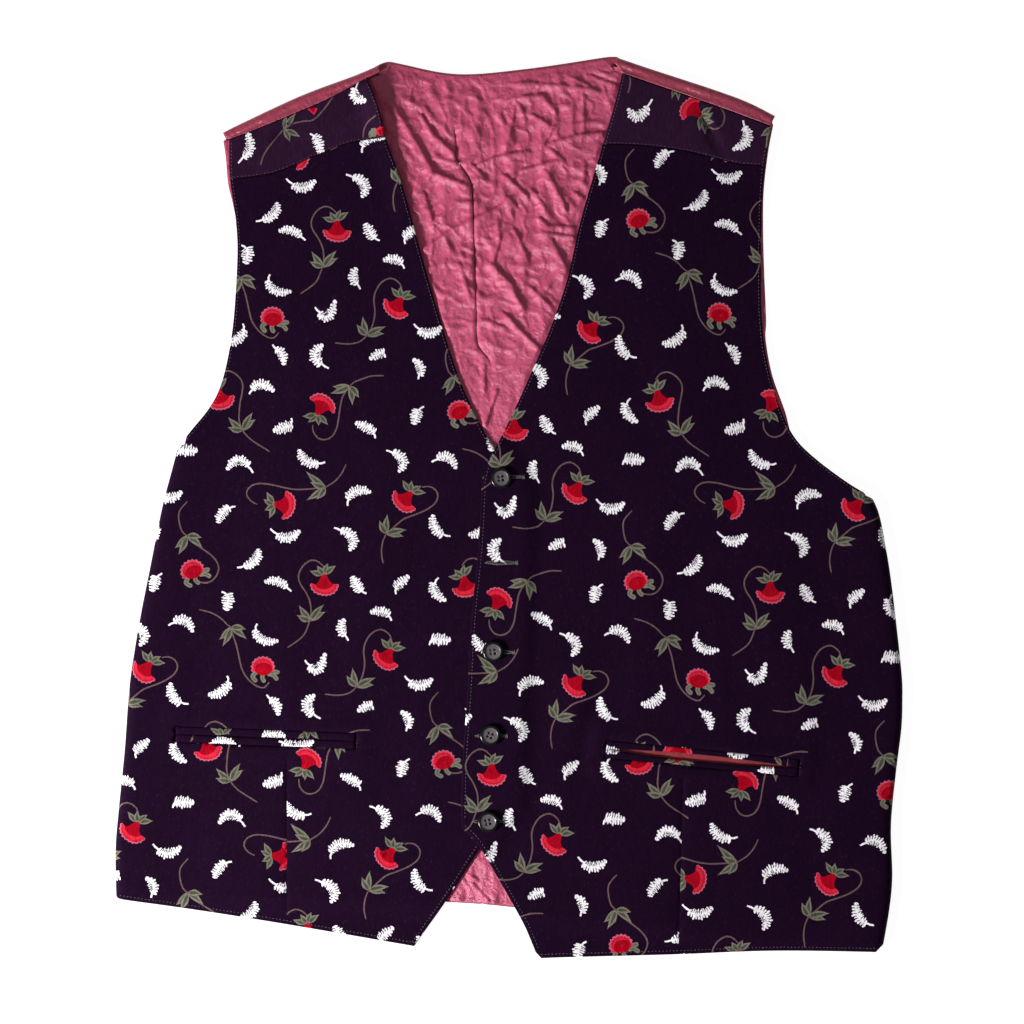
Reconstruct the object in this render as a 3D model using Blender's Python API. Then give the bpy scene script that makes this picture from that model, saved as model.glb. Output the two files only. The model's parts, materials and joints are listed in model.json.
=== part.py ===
"""A man's V-neck waistcoat, buttoned and laid flat, face up, on a level surface.

+X is to the viewer's right, +Y towards the neck, +Z up. The origin is on the surface, under the middle of the outline.
Lengths are in millimetres until a mesh is made. Left and right are the viewer's: the right front laps over the left.
"""

import math

import bmesh
import bpy
import numpy as np
from mathutils import Quaternion, Vector
from mathutils.geometry import delaunay_2d_cdt

MM = 0.001

# Wall thicknesses and the seam gap
BACK_WALL = 1.0
LINING_WALL = 1.0
FRONT_WALL = 1.6
POCKET_WALL = 1.0
GAP = 0.3

# Heights of the middle of each wall where the layers lie flat on each other
BACK_MID = BACK_WALL / 2
LINING_MID = BACK_WALL + GAP + LINING_WALL / 2
FRONT_MID = BACK_WALL + LINING_WALL + 2 * GAP + FRONT_WALL / 2
FRONT_SLACK = 0.4
LAP_RISE = FRONT_WALL + GAP + 0.1
POCKET_RISE = POCKET_WALL + GAP + 0.1

# How far the cloth puffs up along its folded sides and shoulders, and how it rolls over there
SIDE_PUFF = 2.4
SIDE_PUFF_REACH = 55.0
SHOULDER_PUFF = 2.0
SHOULDER_PUFF_REACH = 50.0
NECK_PUFF = 1.4
NECK_PUFF_REACH = 90.0
SIDE_ROLL = 4.0
SHOULDER_ROLL = 4.0
SHOULDER_TOP = FRONT_MID + FRONT_SLACK + SHOULDER_PUFF
BACK_SIDE_INSET = 2.4
LINING_INSET = 6.0

# Point spacing
EDGE_STEP = 12.0
SHOULDER_POINTS = 11
FRONT_STEP = 17.0
BACK_STEP = 60.0
LINING_STEP = 60.0
CRUMPLE_STEP = 9.0
CREASE_STEP = 6.0

# Edges of the pieces, as points (x, y) that a smooth curve goes through
LEFT_NECKLINE = [(-99, 301), (-90.5, 278), (-85, 255), (-75, 227.5), (-56.7, 161), (-36.4, 95), (-20.3, 58.8),
                 (-9.8, 41.3), (8.4, 12.6)]
LEFT_FRONT_EDGE = [(8.4, 12.6), (5.6, -100.8), (2.8, -205.8)]
LEFT_CUTAWAY = [(2.8, -205.8), (-21.7, -240.4), (-44.8, -276.1), (-66.5, -307.2)]
LEFT_HEM = [(-66.5, -307.2), (-157.5, -291.6), (-219.8, -281.6), (-274.5, -273)]
LEFT_SIDE = [(-275.4, -273), (-275.9, -239.4), (-273.7, -211.4), (-269.5, -169.4), (-266.4, -127.4),
             (-262.5, -99.4), (-257.6, -71.4), (-252, -43.4), (-243.6, -1.4), (-236.4, 26.6), (-232.4, 41.3)]
LEFT_ARMHOLE = [(-232.4, 41.3), (-221.9, 54.6), (-210.7, 68.6), (-203, 82.6), (-197.4, 102.2), (-193.2, 128.1),
                (-190.8, 159.6), (-190.1, 185.5), (-192.2, 209.3), (-195.3, 231), (-195.7, 257.8)]
LEFT_YOKE_SEAM = [(-195.3, 230.5), (-177.1, 232.4), (-160.1, 236.2), (-133, 247.7), (-110, 256), (-86, 259)]
LEFT_SHOULDER_SEAM = [(-195.7, 257.8), (-175.4, 265.4), (-141.5, 279.4), (-124.5, 287), (-99, 301)]
LEFT_SHOULDER_FOLD = [(-200.4, 262.9), (-183.8, 271), (-144.9, 289), (-107.5, 303), (-91.4, 310)]

RIGHT_NECKLINE = [(79, 304), (75, 287), (67.2, 259.7), (50.4, 202.3), (41, 161), (29.4, 127.1), (15.8, 95.2),
                  (2.1, 65.1), (-9.8, 41.3), (-16.4, 26.6), (-19.3, 11.9)]
RIGHT_FRONT_EDGE = [(-19.3, 11.9), (-21.7, -30.8), (-26.6, -79.8), (-29.1, -127.4), (-32.6, -179.9),
                    (-33.5, -219.8)]
RIGHT_CUTAWAY = [(-32.6, -224), (-21.3, -236), (-4.2, -265.3), (9.4, -289.7), (18.7, -311.5)]
RIGHT_HEM = [(22.6, -315.6), (47.6, -314.8), (118.7, -312.9), (184.8, -310.3), (258.1, -310.6)]
RIGHT_SIDE = [(262.3, -306.8), (266.7, -281.4), (268.8, -258), (267.9, -222), (271.6, -183.4), (275.1, -155.4),
              (275.9, -134.4), (275.1, -113.4), (268.8, -57.4), (264.6, -29.4), (259.7, -4.9), (254.8, 7)]
RIGHT_ARMHOLE = [(254.8, 7), (237, 17.6), (214.7, 34.4), (200.2, 49), (190.7, 67.9), (181.7, 98), (177.3, 127),
                 (176.3, 160), (177.1, 215.6), (180.6, 250.6), (183.8, 266.7)]
RIGHT_YOKE_SEAM = [(65.5, 255), (93.8, 254), (124.3, 250), (151.8, 243.1), (163.7, 240.7), (179.6, 240)]
RIGHT_SHOULDER_SEAM = [(79, 304), (108.5, 293.9), (147.9, 280), (183.8, 266.7)]
RIGHT_SHOULDER_FOLD = [(75.5, 315.5), (98.8, 307.6), (144, 292.8), (167.6, 284), (186.3, 274.5)]

BACK_NECK = [(-85.5, 312.2), (-76.4, 310.9), (-47.5, 304.8), (-23.9, 303.7), (11.5, 307.2), (38.3, 310.9),
             (71, 315.8)]
BACK_LEFT_ARMHOLE = [(-200.6, 259), (-198.6, 245.7), (-197, 227.5), (-193.6, 212.8), (-188.6, 185.5),
                     (-189.3, 159.6), (-191.7, 128.1), (-196, 102.2), (-201.4, 82.6), (-209, 68.6),
                     (-220, 54.6), (-230.8, 40)]
BACK_RIGHT_ARMHOLE = [(253, 5.8), (236, 16), (213.4, 33), (199.6, 48), (193.5, 67.9), (184.5, 93.5),
                      (180, 118.1), (180.3, 131.6), (178.9, 167.3), (178.2, 195), (178.6, 222), (181.8, 250),
                      (185.6, 270)]
BACK_HEM = [(-273.5, -269.5), (-165, -269), (-44.8, -276.1), (2.8, -279.9), (130, -294), (260, -303.5)]

# The deepest creases of the lining inside the V: a line from one point to another, with its height and half-width
CREASES = [
    {"start": (-72.6, 267.5), "end": (-53.9, 235.4), "rise": 1.2, "width": 5},
    {"start": (-61.4, 274), "end": (-37.3, 247), "rise": 1.5, "width": 5},
    {"start": (-20.7, 241.8), "end": (9, 249.5), "rise": 1.5, "width": 5},
    {"start": (30.8, 254.6), "end": (62, 260.5), "rise": 1.5, "width": 5},
    {"start": (28.6, 252.5), "end": (50, 234.3), "rise": 1.2, "width": 5},
    {"start": (25.4, 236.5), "end": (40, 203), "rise": 1.4, "width": 6},
    {"start": (-1.4, 233.2), "end": (12.5, 217.1), "rise": 1.2, "width": 5},
    {"start": (-58, 232), "end": (-30.3, 225.8), "rise": 1.1, "width": 5},
    {"start": (-52.8, 200), "end": (-28, 216.1), "rise": 1.1, "width": 5},
    {"start": (-55, 186), "end": (-28, 201.1), "rise": 1.2, "width": 6},
    {"start": (1.8, 202.2), "end": (12.5, 175.4), "rise": 1.3, "width": 6},
    {"start": (23.3, 195), "end": (43, 193), "rise": 1.3, "width": 5},
    {"start": (-11, 170), "end": (8.9, 142.3), "rise": 1.3, "width": 5},
    {"start": (8, 283), "end": (28, 267.5), "rise": 1.1, "width": 6},
]
# The seams down the middle of the back and of its lining, which lie askew. The lining laps over its seam on the left
BACK_SEAM = [(-38, 316), (-30, 120), (-24, -80), (-18.5, -290)]
LINING_SEAM = [(-40, 312), (-39, 274), (-37, 253), (-37.5, 246), (-30.5, 235), (-26.5, 227), (-25, 205), (-24, 170),
               (-23, 141), (-22, 115), (-12.5, 99), (-13.5, 60), (-16, -100), (-18.5, -285)]
PLEAT_RISE = 0.7
PLEAT_REACH = 11.0
PLEAT_END = 95.0

# Soft folds of the fronts and yokes: middle, direction in degrees, half-length, half-width and height
FOLDS = [
    {"x": 66, "y": -150, "turn": 72, "length": 52, "width": 11, "rise": -0.9},
    {"x": 44, "y": -140, "turn": 78, "length": 50, "width": 12, "rise": 0.9},
    {"x": 98, "y": -62, "turn": 80, "length": 70, "width": 16, "rise": 0.8},
    {"x": 30, "y": -70, "turn": 28, "length": 34, "width": 10, "rise": 0.7},
    {"x": 190, "y": -80, "turn": 96, "length": 90, "width": 20, "rise": 0.8},
    {"x": 230, "y": -215, "turn": 88, "length": 60, "width": 15, "rise": 0.8},
    {"x": 120, "y": 90, "turn": 100, "length": 80, "width": 20, "rise": 0.9},
    {"x": -232, "y": -140, "turn": 86, "length": 38, "width": 9, "rise": 0.8},
    {"x": -158, "y": -120, "turn": 91, "length": 52, "width": 11, "rise": 0.8},
    {"x": -95, "y": -60, "turn": 84, "length": 80, "width": 18, "rise": 0.8},
    {"x": -60, "y": -215, "turn": 80, "length": 50, "width": 14, "rise": 0.7},
    {"x": -150, "y": 60, "turn": 70, "length": 70, "width": 20, "rise": 0.9},
    {"x": -154, "y": 254, "turn": 58, "length": 17, "width": 6, "rise": -1.0},
    {"x": 142, "y": 262, "turn": -62, "length": 20, "width": 5, "rise": -1.0},
]
# The dart under each pocket: a pressed seam from the pocket to the hem
DARTS = [
    {"start": (-155.4, -176), "end": (-155.8, -291), "depth": 0.35, "width": 5},
    {"start": (121.8, -190), "end": (118.7, -312), "depth": 0.35, "width": 5},
]

# Pockets: the middle of the slit, its tilt, the two lips together, and how far the slit gapes
POCKETS = [
    {"side": "left", "x": -170.2, "y": -160.6, "tilt": -2.2, "length": 127, "height": 11.4, "gape": 1.0,
     "widest": -22},
    {"side": "right", "x": 135.5, "y": -175.2, "tilt": -5.6, "length": 136, "height": 12.6, "gape": 5.4,
     "widest": -3},
]
POCKET_FEATHER = 14.0
POCKET_LINING_MARGIN = 2.5
LIP_WALL = 1.8
LIP_PROUD = 0.2

# Buttons: 24-ligne, four holes, through four of the five buttonholes
BUTTON_RADIUS = 7.5
BUTTON_PROFILE = [(0, 0.2), (4.2, 0.2), (6.2, 0.9), (7.5, 1.9), (7.5, 2.5), (7.1, 3.0), (6.3, 3.0), (5.4, 2.3),
                  (0, 2.1)]
BUTTON_HOLE_RADIUS = 0.9
BUTTON_HOLE_PITCH = 2.7
BUTTON_SEGMENTS = 24
BUTTONS = [
    {"x": -5.7, "y": 20.6, "turn": 8, "tilt": 3, "toward": 60},
    {"x": -11.3, "y": -100.4, "turn": 4, "tilt": 3, "toward": 30},
    {"x": -13.2, "y": -158.8, "turn": -24, "tilt": 3, "toward": 40},
    {"x": -14.6, "y": -219.3, "turn": 12, "tilt": 2, "toward": 100},
]


# Curves and outlines


def smooth(points, step=EDGE_STEP):
    """Points about step apart on a Catmull-Rom curve through the given points."""
    p = np.array([points[0], *points, points[-1]], float)
    made = []
    for a, b, c, d in zip(p, p[1:], p[2:], p[3:]):
        count = max(1, round(np.linalg.norm(c - b) / step))
        for t in np.arange(count) / count:
            made.append(0.5 * (2 * b + (c - a) * t + (2 * a - 5 * b + 4 * c - d) * t**2
                               + (3 * b - a - 3 * c + d) * t**3))
    return np.array([*made, p[-1]])


def resampled(curve, count):
    """The same curve, as a number of points that are evenly apart."""
    travelled = np.concatenate([[0], np.cumsum(np.linalg.norm(np.diff(curve, axis=0), axis=1))])
    share = np.linspace(0, travelled[-1], count)
    return np.stack([np.interp(share, travelled, curve[:, k]) for k in range(2)], axis=1)


def straight(start, end, step):
    """Points about step apart on a straight line."""
    start, end = np.array(start, float), np.array(end, float)
    count = max(2, math.ceil(np.linalg.norm(end - start) / step) + 1)
    return start + np.linspace(0, 1, count)[:, None] * (end - start)


def outward_normals(curve):
    """Unit normals on the right of a curve's direction of travel."""
    along = np.gradient(curve, axis=0)
    along /= np.linalg.norm(along, axis=1)[:, None]
    return np.stack([along[:, 1], -along[:, 0]], axis=1)


def shifted(curve, distance):
    """The curve moved to the left of its direction of travel."""
    return curve - outward_normals(curve) * distance


def chain(*curves):
    """One closed outline from curves that follow each other, without doubled points."""
    points = [p for curve in curves for p in np.asarray(curve, float)]
    kept = [points[0]]
    for p in points[1:]:
        if np.linalg.norm(p - kept[-1]) > 0.5:
            kept.append(p)
    if np.linalg.norm(kept[0] - kept[-1]) <= 0.5:
        kept.pop()
    return np.array(kept)


def to_segments(points, a, b):
    """Distance from each point to the nearest of the segments a-b."""
    nearest = np.full(len(points), np.inf)
    for start, end in zip(a, b):
        d = end - start
        t = np.clip(((points - start) @ d) / max(d @ d, 1e-9), 0, 1)
        nearest = np.minimum(nearest, np.linalg.norm(points - start - t[:, None] * d, axis=1))
    return nearest


def inside(points, outline):
    """Whether each point lies inside a closed outline."""
    x, y = points[:, 0], points[:, 1]
    odd = np.zeros(len(points), bool)
    for (x0, y0), (x1, y1) in zip(outline, np.roll(outline, -1, axis=0)):
        if y0 != y1:
            odd ^= ((y0 > y) != (y1 > y)) & (x < (x1 - x0) * (y - y0) / (y1 - y0) + x0)
    return odd


def outside_distance(points, outline):
    """Distance outside a closed outline, negative inside it."""
    d = to_segments(points, outline, np.roll(outline, -1, axis=0))
    return np.where(inside(points, outline), -d, d)


def ease(t):
    """From 0 to 1, flat at both ends."""
    t = np.clip(t, 0, 1)
    return t * t * (3 - 2 * t)


# Outlines of the pieces, counter-clockwise

SIDES = {"left": smooth(LEFT_SIDE), "right": smooth(RIGHT_SIDE)}
FOLD_LINES = {"left": resampled(smooth(LEFT_SHOULDER_FOLD, 3), SHOULDER_POINTS),
              "right": resampled(smooth(RIGHT_SHOULDER_FOLD, 3), SHOULDER_POINTS)}
# The lines where the fronts start to roll down at the sides, and the back starts to roll up at the shoulders
SIDE_STARTS = {
    "left": shifted(SIDES["left"], -SIDE_ROLL - FRONT_WALL / 2),
    "right": shifted(SIDES["right"], SIDE_ROLL + FRONT_WALL / 2),
}
SHOULDER_SEAMS = {"left": resampled(smooth(LEFT_SHOULDER_SEAM, 3), SHOULDER_POINTS),
                  "right": resampled(smooth(RIGHT_SHOULDER_SEAM, 3), SHOULDER_POINTS)}
SHOULDER_STARTS = {side: shifted(line, -SHOULDER_ROLL - BACK_WALL / 2) for side, line in FOLD_LINES.items()}


def left_front_outline():
    """The whole left front with its yoke, up to where it rolls down at the side."""
    side = SIDE_STARTS["left"]
    return chain(smooth(LEFT_HEM)[::-1][1:], smooth(LEFT_CUTAWAY)[::-1], smooth(LEFT_FRONT_EDGE)[::-1],
                 smooth(LEFT_NECKLINE)[::-1], SHOULDER_SEAMS["left"][::-1], smooth(LEFT_ARMHOLE)[::-1][:-1],
                 side[::-1])


def right_front_outline():
    """The whole right front with its yoke, up to where it rolls down at the side."""
    side = SIDE_STARTS["right"]
    return chain(smooth(RIGHT_CUTAWAY), smooth(RIGHT_HEM)[:-1], side, smooth(RIGHT_ARMHOLE)[1:],
                 SHOULDER_SEAMS["right"][::-1], smooth(RIGHT_NECKLINE), smooth(RIGHT_FRONT_EDGE))


def back_outline(side_inset, shoulder_lines, neck_inset, hem_inset):
    """The back, with its sides and shoulders drawn in by what the roll of the cloth takes."""
    left = shifted(smooth(LEFT_SIDE), -side_inset)
    right = shifted(smooth(RIGHT_SIDE), side_inset)
    edge_inset = min(neck_inset, 1.0)
    return chain(
        smooth(BACK_HEM) + [0, hem_inset],
        right[(right[:, 1] > -300) & (right[:, 1] < 2)],
        shifted(smooth(BACK_RIGHT_ARMHOLE), edge_inset)[1:-1],
        shoulder_lines["right"][::-1],
        shifted(smooth(BACK_NECK), -neck_inset)[::-1],
        shoulder_lines["left"][::-1],
        shifted(smooth(BACK_LEFT_ARMHOLE), edge_inset)[1:-1],
        left[(left[:, 1] > -266) & (left[:, 1] < 36)][::-1],
    )


LEFT_FRONT = left_front_outline()
RIGHT_FRONT = right_front_outline()
BACK = back_outline(BACK_SIDE_INSET, SHOULDER_STARTS, 0, 0)


# Heights of the middle of each wall


def fold_height(points, folds):
    """Soft ridges and troughs."""
    height = np.zeros(len(points))
    for fold in folds:
        turn = math.radians(fold["turn"])
        offset = points - [fold["x"], fold["y"]]
        along = offset @ [math.cos(turn), math.sin(turn)]
        across = offset @ [-math.sin(turn), math.cos(turn)]
        height += fold["rise"] * np.exp(-((along / fold["length"]) ** 2) - (across / fold["width"]) ** 2)
    return height


def dart_depth(points):
    """The pressed-in line of each dart."""
    depth = np.zeros(len(points))
    for dart in DARTS:
        start, end = np.array([dart["start"]], float), np.array([dart["end"]], float)
        depth += dart["depth"] * np.exp(-((to_segments(points, start, end) / dart["width"]) ** 2))
    return depth


def pocket_frame(points, pocket):
    """Coordinates along and across a pocket's slit."""
    tilt = math.radians(pocket["tilt"])
    offset = points - [pocket["x"], pocket["y"]]
    return offset @ [math.cos(tilt), math.sin(tilt)], offset @ [-math.sin(tilt), math.cos(tilt)]


def pocket_height(points):
    """The rise of the front over each pocket."""
    height = np.zeros(len(points))
    for pocket in POCKETS:
        along, across = pocket_frame(points, pocket)
        half_length = pocket["length"] / 2 + POCKET_LINING_MARGIN + 2
        half_height = pocket["height"] / 2 + POCKET_LINING_MARGIN + 2
        away = np.hypot(np.maximum(abs(along) - half_length, 0), np.maximum(abs(across) - half_height, 0))
        height = np.maximum(height, POCKET_RISE * (1 - ease(away / POCKET_FEATHER)))
    return height


def front_height(points):
    """The middle of a front's wall where it lies on the back."""
    puff = np.zeros(len(points))
    for side in SIDES.values():
        d = to_segments(points, side[:-1], side[1:])
        puff = np.maximum(puff, SIDE_PUFF * (1 - ease(d / SIDE_PUFF_REACH)))
    for seam in SHOULDER_SEAMS.values():
        d = to_segments(points, seam[:-1], seam[1:])
        puff = np.maximum(puff, SHOULDER_PUFF * (1 - ease(d / SHOULDER_PUFF_REACH)))
    seam = SHOULDER_SEAMS["left"]
    neck = NECK_PUFF * (1 - ease(np.linalg.norm(points - LEFT_NECKLINE[1], axis=1) / NECK_PUFF_REACH))
    neck *= ease(to_segments(points, seam[:-1], seam[1:]) / 22)
    pressed = fold_height(points, FOLDS) - dart_depth(points)
    at_seam = ease(np.min([to_segments(points, seam[:-1], seam[1:]) for seam in SHOULDER_SEAMS.values()], axis=0) / 12)
    loose = FRONT_SLACK + puff + neck + pressed * at_seam
    lying = FRONT_MID + np.maximum(loose, pocket_height(points))
    seated = ease(outside_distance(points, BACK) / 14 - 0.1)
    return lying * (1 - seated) + (FRONT_WALL / 2) * seated


def lap_height(points):
    """The right front climbs over the left one where they overlap."""
    away = outside_distance(points, LEFT_FRONT)
    return LAP_RISE * (1 - ease((away - 2.5) / 12))


def right_front_height(points):
    return front_height(points) + lap_height(points)


def lining_height(points):
    """The crumpled lining inside the V, flat again under the fronts."""
    height = np.zeros(len(points))
    for crease in CREASES:
        start, end = np.array([crease["start"]], float), np.array([crease["end"]], float)
        d = to_segments(points, start, end)
        height = np.maximum(height, crease["rise"] * np.exp(-((d / crease["width"]) ** 2)))
    covered = np.minimum(outside_distance(points, LEFT_FRONT), outside_distance(points, RIGHT_FRONT))
    return LINING_MID + height * ease((covered - 1.5) / 5)


def pleated_height(points):
    """The left half of the lining, lifted where it laps over its other half."""
    seam = smooth(LINING_SEAM)
    d = to_segments(points, seam[:-1], seam[1:])
    lifted = PLEAT_RISE * (1 - ease(d / PLEAT_REACH)) * ease((points[:, 1] - PLEAT_END) / 20)
    covered = np.minimum(outside_distance(points, LEFT_FRONT), outside_distance(points, RIGHT_FRONT))
    return np.maximum(lining_height(points), LINING_MID + lifted * ease((covered - 1.5) / 5))


# Meshes


def seeds(outline, step, clear_of):
    """A triangular grid of points inside an outline, clear of its edge."""
    low, high = outline.min(axis=0), outline.max(axis=0)
    rows = np.arange(low[1], high[1], step * math.sqrt(3) / 2)
    grid = np.array([(x + (i % 2) * step / 2, y) for i, y in enumerate(rows)
                     for x in np.arange(low[0], high[0], step)])
    return grid[outside_distance(grid, outline) < -clear_of]


def triangulated(outline, holes, inner):
    """Points and triangles that fill an outline round its holes, through the inner points."""
    loops = [outline, *holes]
    points, edges = [], []
    for loop in loops:
        first = len(points)
        points += [tuple(p) for p in loop]
        edges += [(first + i, first + (i + 1) % len(loop)) for i in range(len(loop))]
    points += [tuple(p) for p in inner]
    made = delaunay_2d_cdt([Vector(p) for p in points], edges, [], 0, 1e-4)
    flat = np.array([tuple(p) for p in made[0]])
    faces = np.array([f for f in made[2] if len(f) == 3])
    middle = flat[faces].mean(axis=1)
    kept = inside(middle, outline)
    for hole in holes:
        kept &= ~inside(middle, hole)
    return flat, faces[kept]


def add_material(obj, colour, roughness, metallic=0.0, sheen=0.0):
    material = bpy.data.materials.new(obj.name)
    material.use_nodes = True
    shader = material.node_tree.nodes["Principled BSDF"]
    shader.inputs["Base Color"].default_value = (*colour, 1)
    shader.inputs["Roughness"].default_value = roughness
    shader.inputs["Metallic"].default_value = metallic
    shader.inputs["Sheen Weight"].default_value = sheen
    material.diffuse_color = (*colour, 1)
    obj.data.materials.append(material)


def add_object(name, points, faces, finish):
    mesh = bpy.data.meshes.new(name)
    mesh.from_pydata([tuple(np.array(p) * MM) for p in points], [], [tuple(int(i) for i in f) for f in faces])
    mesh.validate()
    obj = bpy.data.objects.new(name, mesh)
    bpy.context.scene.collection.objects.link(obj)
    add_material(obj, **finish)
    return obj


def welded(obj, distance=0.02):
    """The object with points that lie on each other made one."""
    import bmesh

    work = bmesh.new()
    work.from_mesh(obj.data)
    bmesh.ops.remove_doubles(work, verts=work.verts, dist=distance * MM)
    bmesh.ops.recalc_face_normals(work, faces=work.faces)
    work.to_mesh(obj.data)
    work.free()
    return obj


def add_wall(obj, thickness):
    """Gives a surface its cloth's thickness, half on each side."""
    wall = obj.modifiers.new("Wall", "SOLIDIFY")
    wall.thickness = thickness * MM
    wall.offset = 0
    wall.use_even_offset = True
    wall.use_quality_normals = True
    return obj


def strip_faces(rows, count):
    """Quads between rows that each hold count points."""
    return [(r * count + i, r * count + i + 1, (r + 1) * count + i + 1, (r + 1) * count + i)
            for r in range(rows - 1) for i in range(count - 1)]


def sheet(name, outline, height, step, thickness, finish, holes=(), extra=None, strips=()):
    """A cloth piece: its outline filled, raised to its height, joined to its rolled strips and given its wall."""
    inner = seeds(outline, step, step * 0.45)
    for hole in holes:
        inner = inner[outside_distance(inner, hole) > step * 0.4]
    if extra is not None:
        inner = np.concatenate([inner, extra])
    flat, faces = triangulated(outline, holes, inner)
    points = np.column_stack([flat, height(flat)])
    faces = [tuple(f) for f in faces]
    for more, more_faces in strips:
        faces += [tuple(i + len(points) for i in face) for face in more_faces]
        points = np.concatenate([points, more])
    return add_wall(welded(add_object(name, points, faces, finish)), thickness)


# The pieces

RAYON = {"colour": (0.018, 0.006, 0.024), "roughness": 0.8, "sheen": 0.3}
SATIN = {"colour": (0.30, 0.045, 0.085), "roughness": 0.42}
LINING = {"colour": (0.58, 0.09, 0.19), "roughness": 0.4}
POCKET_SATIN = {"colour": (0.33, 0.02, 0.05), "roughness": 0.45}
BUTTON = {"colour": (0.03, 0.027, 0.032), "roughness": 0.22}


def side_strip(side, height):
    """The quarter roll that carries a front down to the surface at its side seam."""
    line = SIDE_STARTS[side]
    start = height(line)
    outward = outward_normals(SIDES[side]) * (1 if side == "right" else -1)
    angles = np.radians([0, 22, 45, 68, 90])
    rows = [np.column_stack([line + outward * SIDE_ROLL * math.sin(a), start * math.cos(a)]) for a in angles]
    return np.concatenate(rows), strip_faces(len(rows), len(line))


def shoulder_strip(side):
    """The back rolls up over the shoulder and comes down the front to the shoulder seam."""
    line = SHOULDER_STARTS[side]
    outward = -outward_normals(FOLD_LINES[side])
    half_rise = (SHOULDER_TOP - BACK_MID) / 2
    angles = np.radians([0, 36, 72, 108, 144, 180])
    rows = [np.column_stack([line + outward * SHOULDER_ROLL * math.sin(a),
                             np.full(len(line), BACK_MID + half_rise * (1 - math.cos(a)))]) for a in angles]
    seam = shifted(SHOULDER_SEAMS[side], GAP)
    rows.append(np.column_stack([seam, np.full(len(line), SHOULDER_TOP)]))
    return np.concatenate(rows), strip_faces(len(rows), len(line))


def parted(outline, seam, along):
    """The two outlines that a seam cuts one into. The seam runs along an axis, with the first of them on its left."""
    order = np.argsort(seam[:, along])
    across = np.interp(outline[:, along], seam[order, along], seam[order, 1 - along])
    first = outline[:, 1 - along] > across
    start = int(np.flatnonzero(first & ~np.roll(first, 1))[0])
    turned = np.roll(outline, -start, axis=0)
    count = int(first.sum())
    made = []
    for edge, line in ((turned[:count], shifted(seam, GAP / 2)), (turned[count:], shifted(seam, -GAP / 2)[::-1])):
        clear = to_segments(edge, line[:-1], line[1:]) > 3.0
        made.append(chain(edge[clear], line))
    return made


def seam_within(points, outline):
    """The part of a seam's curve that lies inside an outline."""
    dense = smooth(points, 0.5)
    dense = dense[inside(dense, outline)]
    return resampled(dense, round(len(dense) * 0.5 / EDGE_STEP))


def add_back():
    seam = seam_within(BACK_SEAM, BACK)
    for side, outline in zip(("right", "left"), parted(BACK, seam, 1)):
        sheet(f"back_{side}", outline, lambda p: np.full(len(p), BACK_MID), BACK_STEP, BACK_WALL, SATIN,
              strips=[shoulder_strip(side)])


def crumple_marks(outline):
    """Mesh points for the open V: along each crease, beside the covered edges, and evenly between them."""
    creases = np.concatenate([straight(c["start"], c["end"], CREASE_STEP) for c in CREASES])
    beside = np.concatenate([shifted(smooth(LEFT_NECKLINE), 1.5), shifted(smooth(RIGHT_NECKLINE), -1.5)])
    marks = np.concatenate([creases, beside])
    inner = seeds(outline, CRUMPLE_STEP, CRUMPLE_STEP * 0.5)
    covered = np.minimum(outside_distance(inner, LEFT_FRONT), outside_distance(inner, RIGHT_FRONT))
    fine = inner[(covered > -CRUMPLE_STEP) & (inner[:, 1] > 20)]
    fine = fine[np.linalg.norm(fine[:, None] - marks[None], axis=2).min(axis=1) > CREASE_STEP * 0.6]
    marks = marks[outside_distance(marks, outline) < -3]
    return np.concatenate([fine, marks])


def add_lining():
    shoulders = {side: shifted(line, -2.0) for side, line in SHOULDER_STARTS.items()}
    outline = back_outline(LINING_INSET, shoulders, 1.2, 1.2)
    for side, half in zip(("right", "left"), parted(outline, seam_within(LINING_SEAM, outline), 1)):
        sheet(f"lining_{side}", half, pleated_height if side == "left" else lining_height, LINING_STEP, LINING_WALL,
              LINING, extra=crumple_marks(half))


def pocket_corners(pocket, margin):
    """The four corners of a pocket's window, grown by a margin."""
    tilt = math.radians(pocket["tilt"])
    along = np.array([math.cos(tilt), math.sin(tilt)])
    across = np.array([-math.sin(tilt), math.cos(tilt)])
    half_length, half_height = pocket["length"] / 2 + margin, pocket["height"] / 2 + margin
    middle = np.array([pocket["x"], pocket["y"]])
    return [middle + along * a * half_length + across * b * half_height
            for a, b in ((-1, -1), (1, -1), (1, 1), (-1, 1))]


def pocket_window(pocket, margin, step=16.0):
    corners = pocket_corners(pocket, margin)
    sides = [straight(a, b, step)[:-1] for a, b in zip(corners, corners[1:] + corners[:1])]
    return np.concatenate(sides)


def step_marks(body, side):
    """Mesh points of a front where it steps down: beyond the back's hem, and beyond the left front's edges."""
    lines = [smooth(BACK_HEM) - [0, 1.5]]
    if side == "right":
        edges = np.concatenate([smooth(LEFT_NECKLINE), smooth(LEFT_FRONT_EDGE), smooth(LEFT_CUTAWAY)])
        lines += [shifted(edges, 3.0), shifted(edges, 14.0)]
    marks = np.concatenate(lines)
    return marks[outside_distance(marks, body) < -5]


def add_fronts():
    for side, outline, seam, height in (("left", LEFT_FRONT, LEFT_YOKE_SEAM, front_height),
                                        ("right", RIGHT_FRONT, RIGHT_YOKE_SEAM, right_front_height)):
        yoke, body = parted(outline, smooth(seam), 0)
        pocket = next(p for p in POCKETS if p["side"] == side)
        sheet(f"front_{side}", body, height, FRONT_STEP, FRONT_WALL, RAYON,
              holes=[pocket_window(pocket, 0)], strips=[side_strip(side, height)],
              extra=step_marks(body, side))
        sheet(f"yoke_{side}", yoke, height, FRONT_STEP, FRONT_WALL, RAYON)


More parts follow.
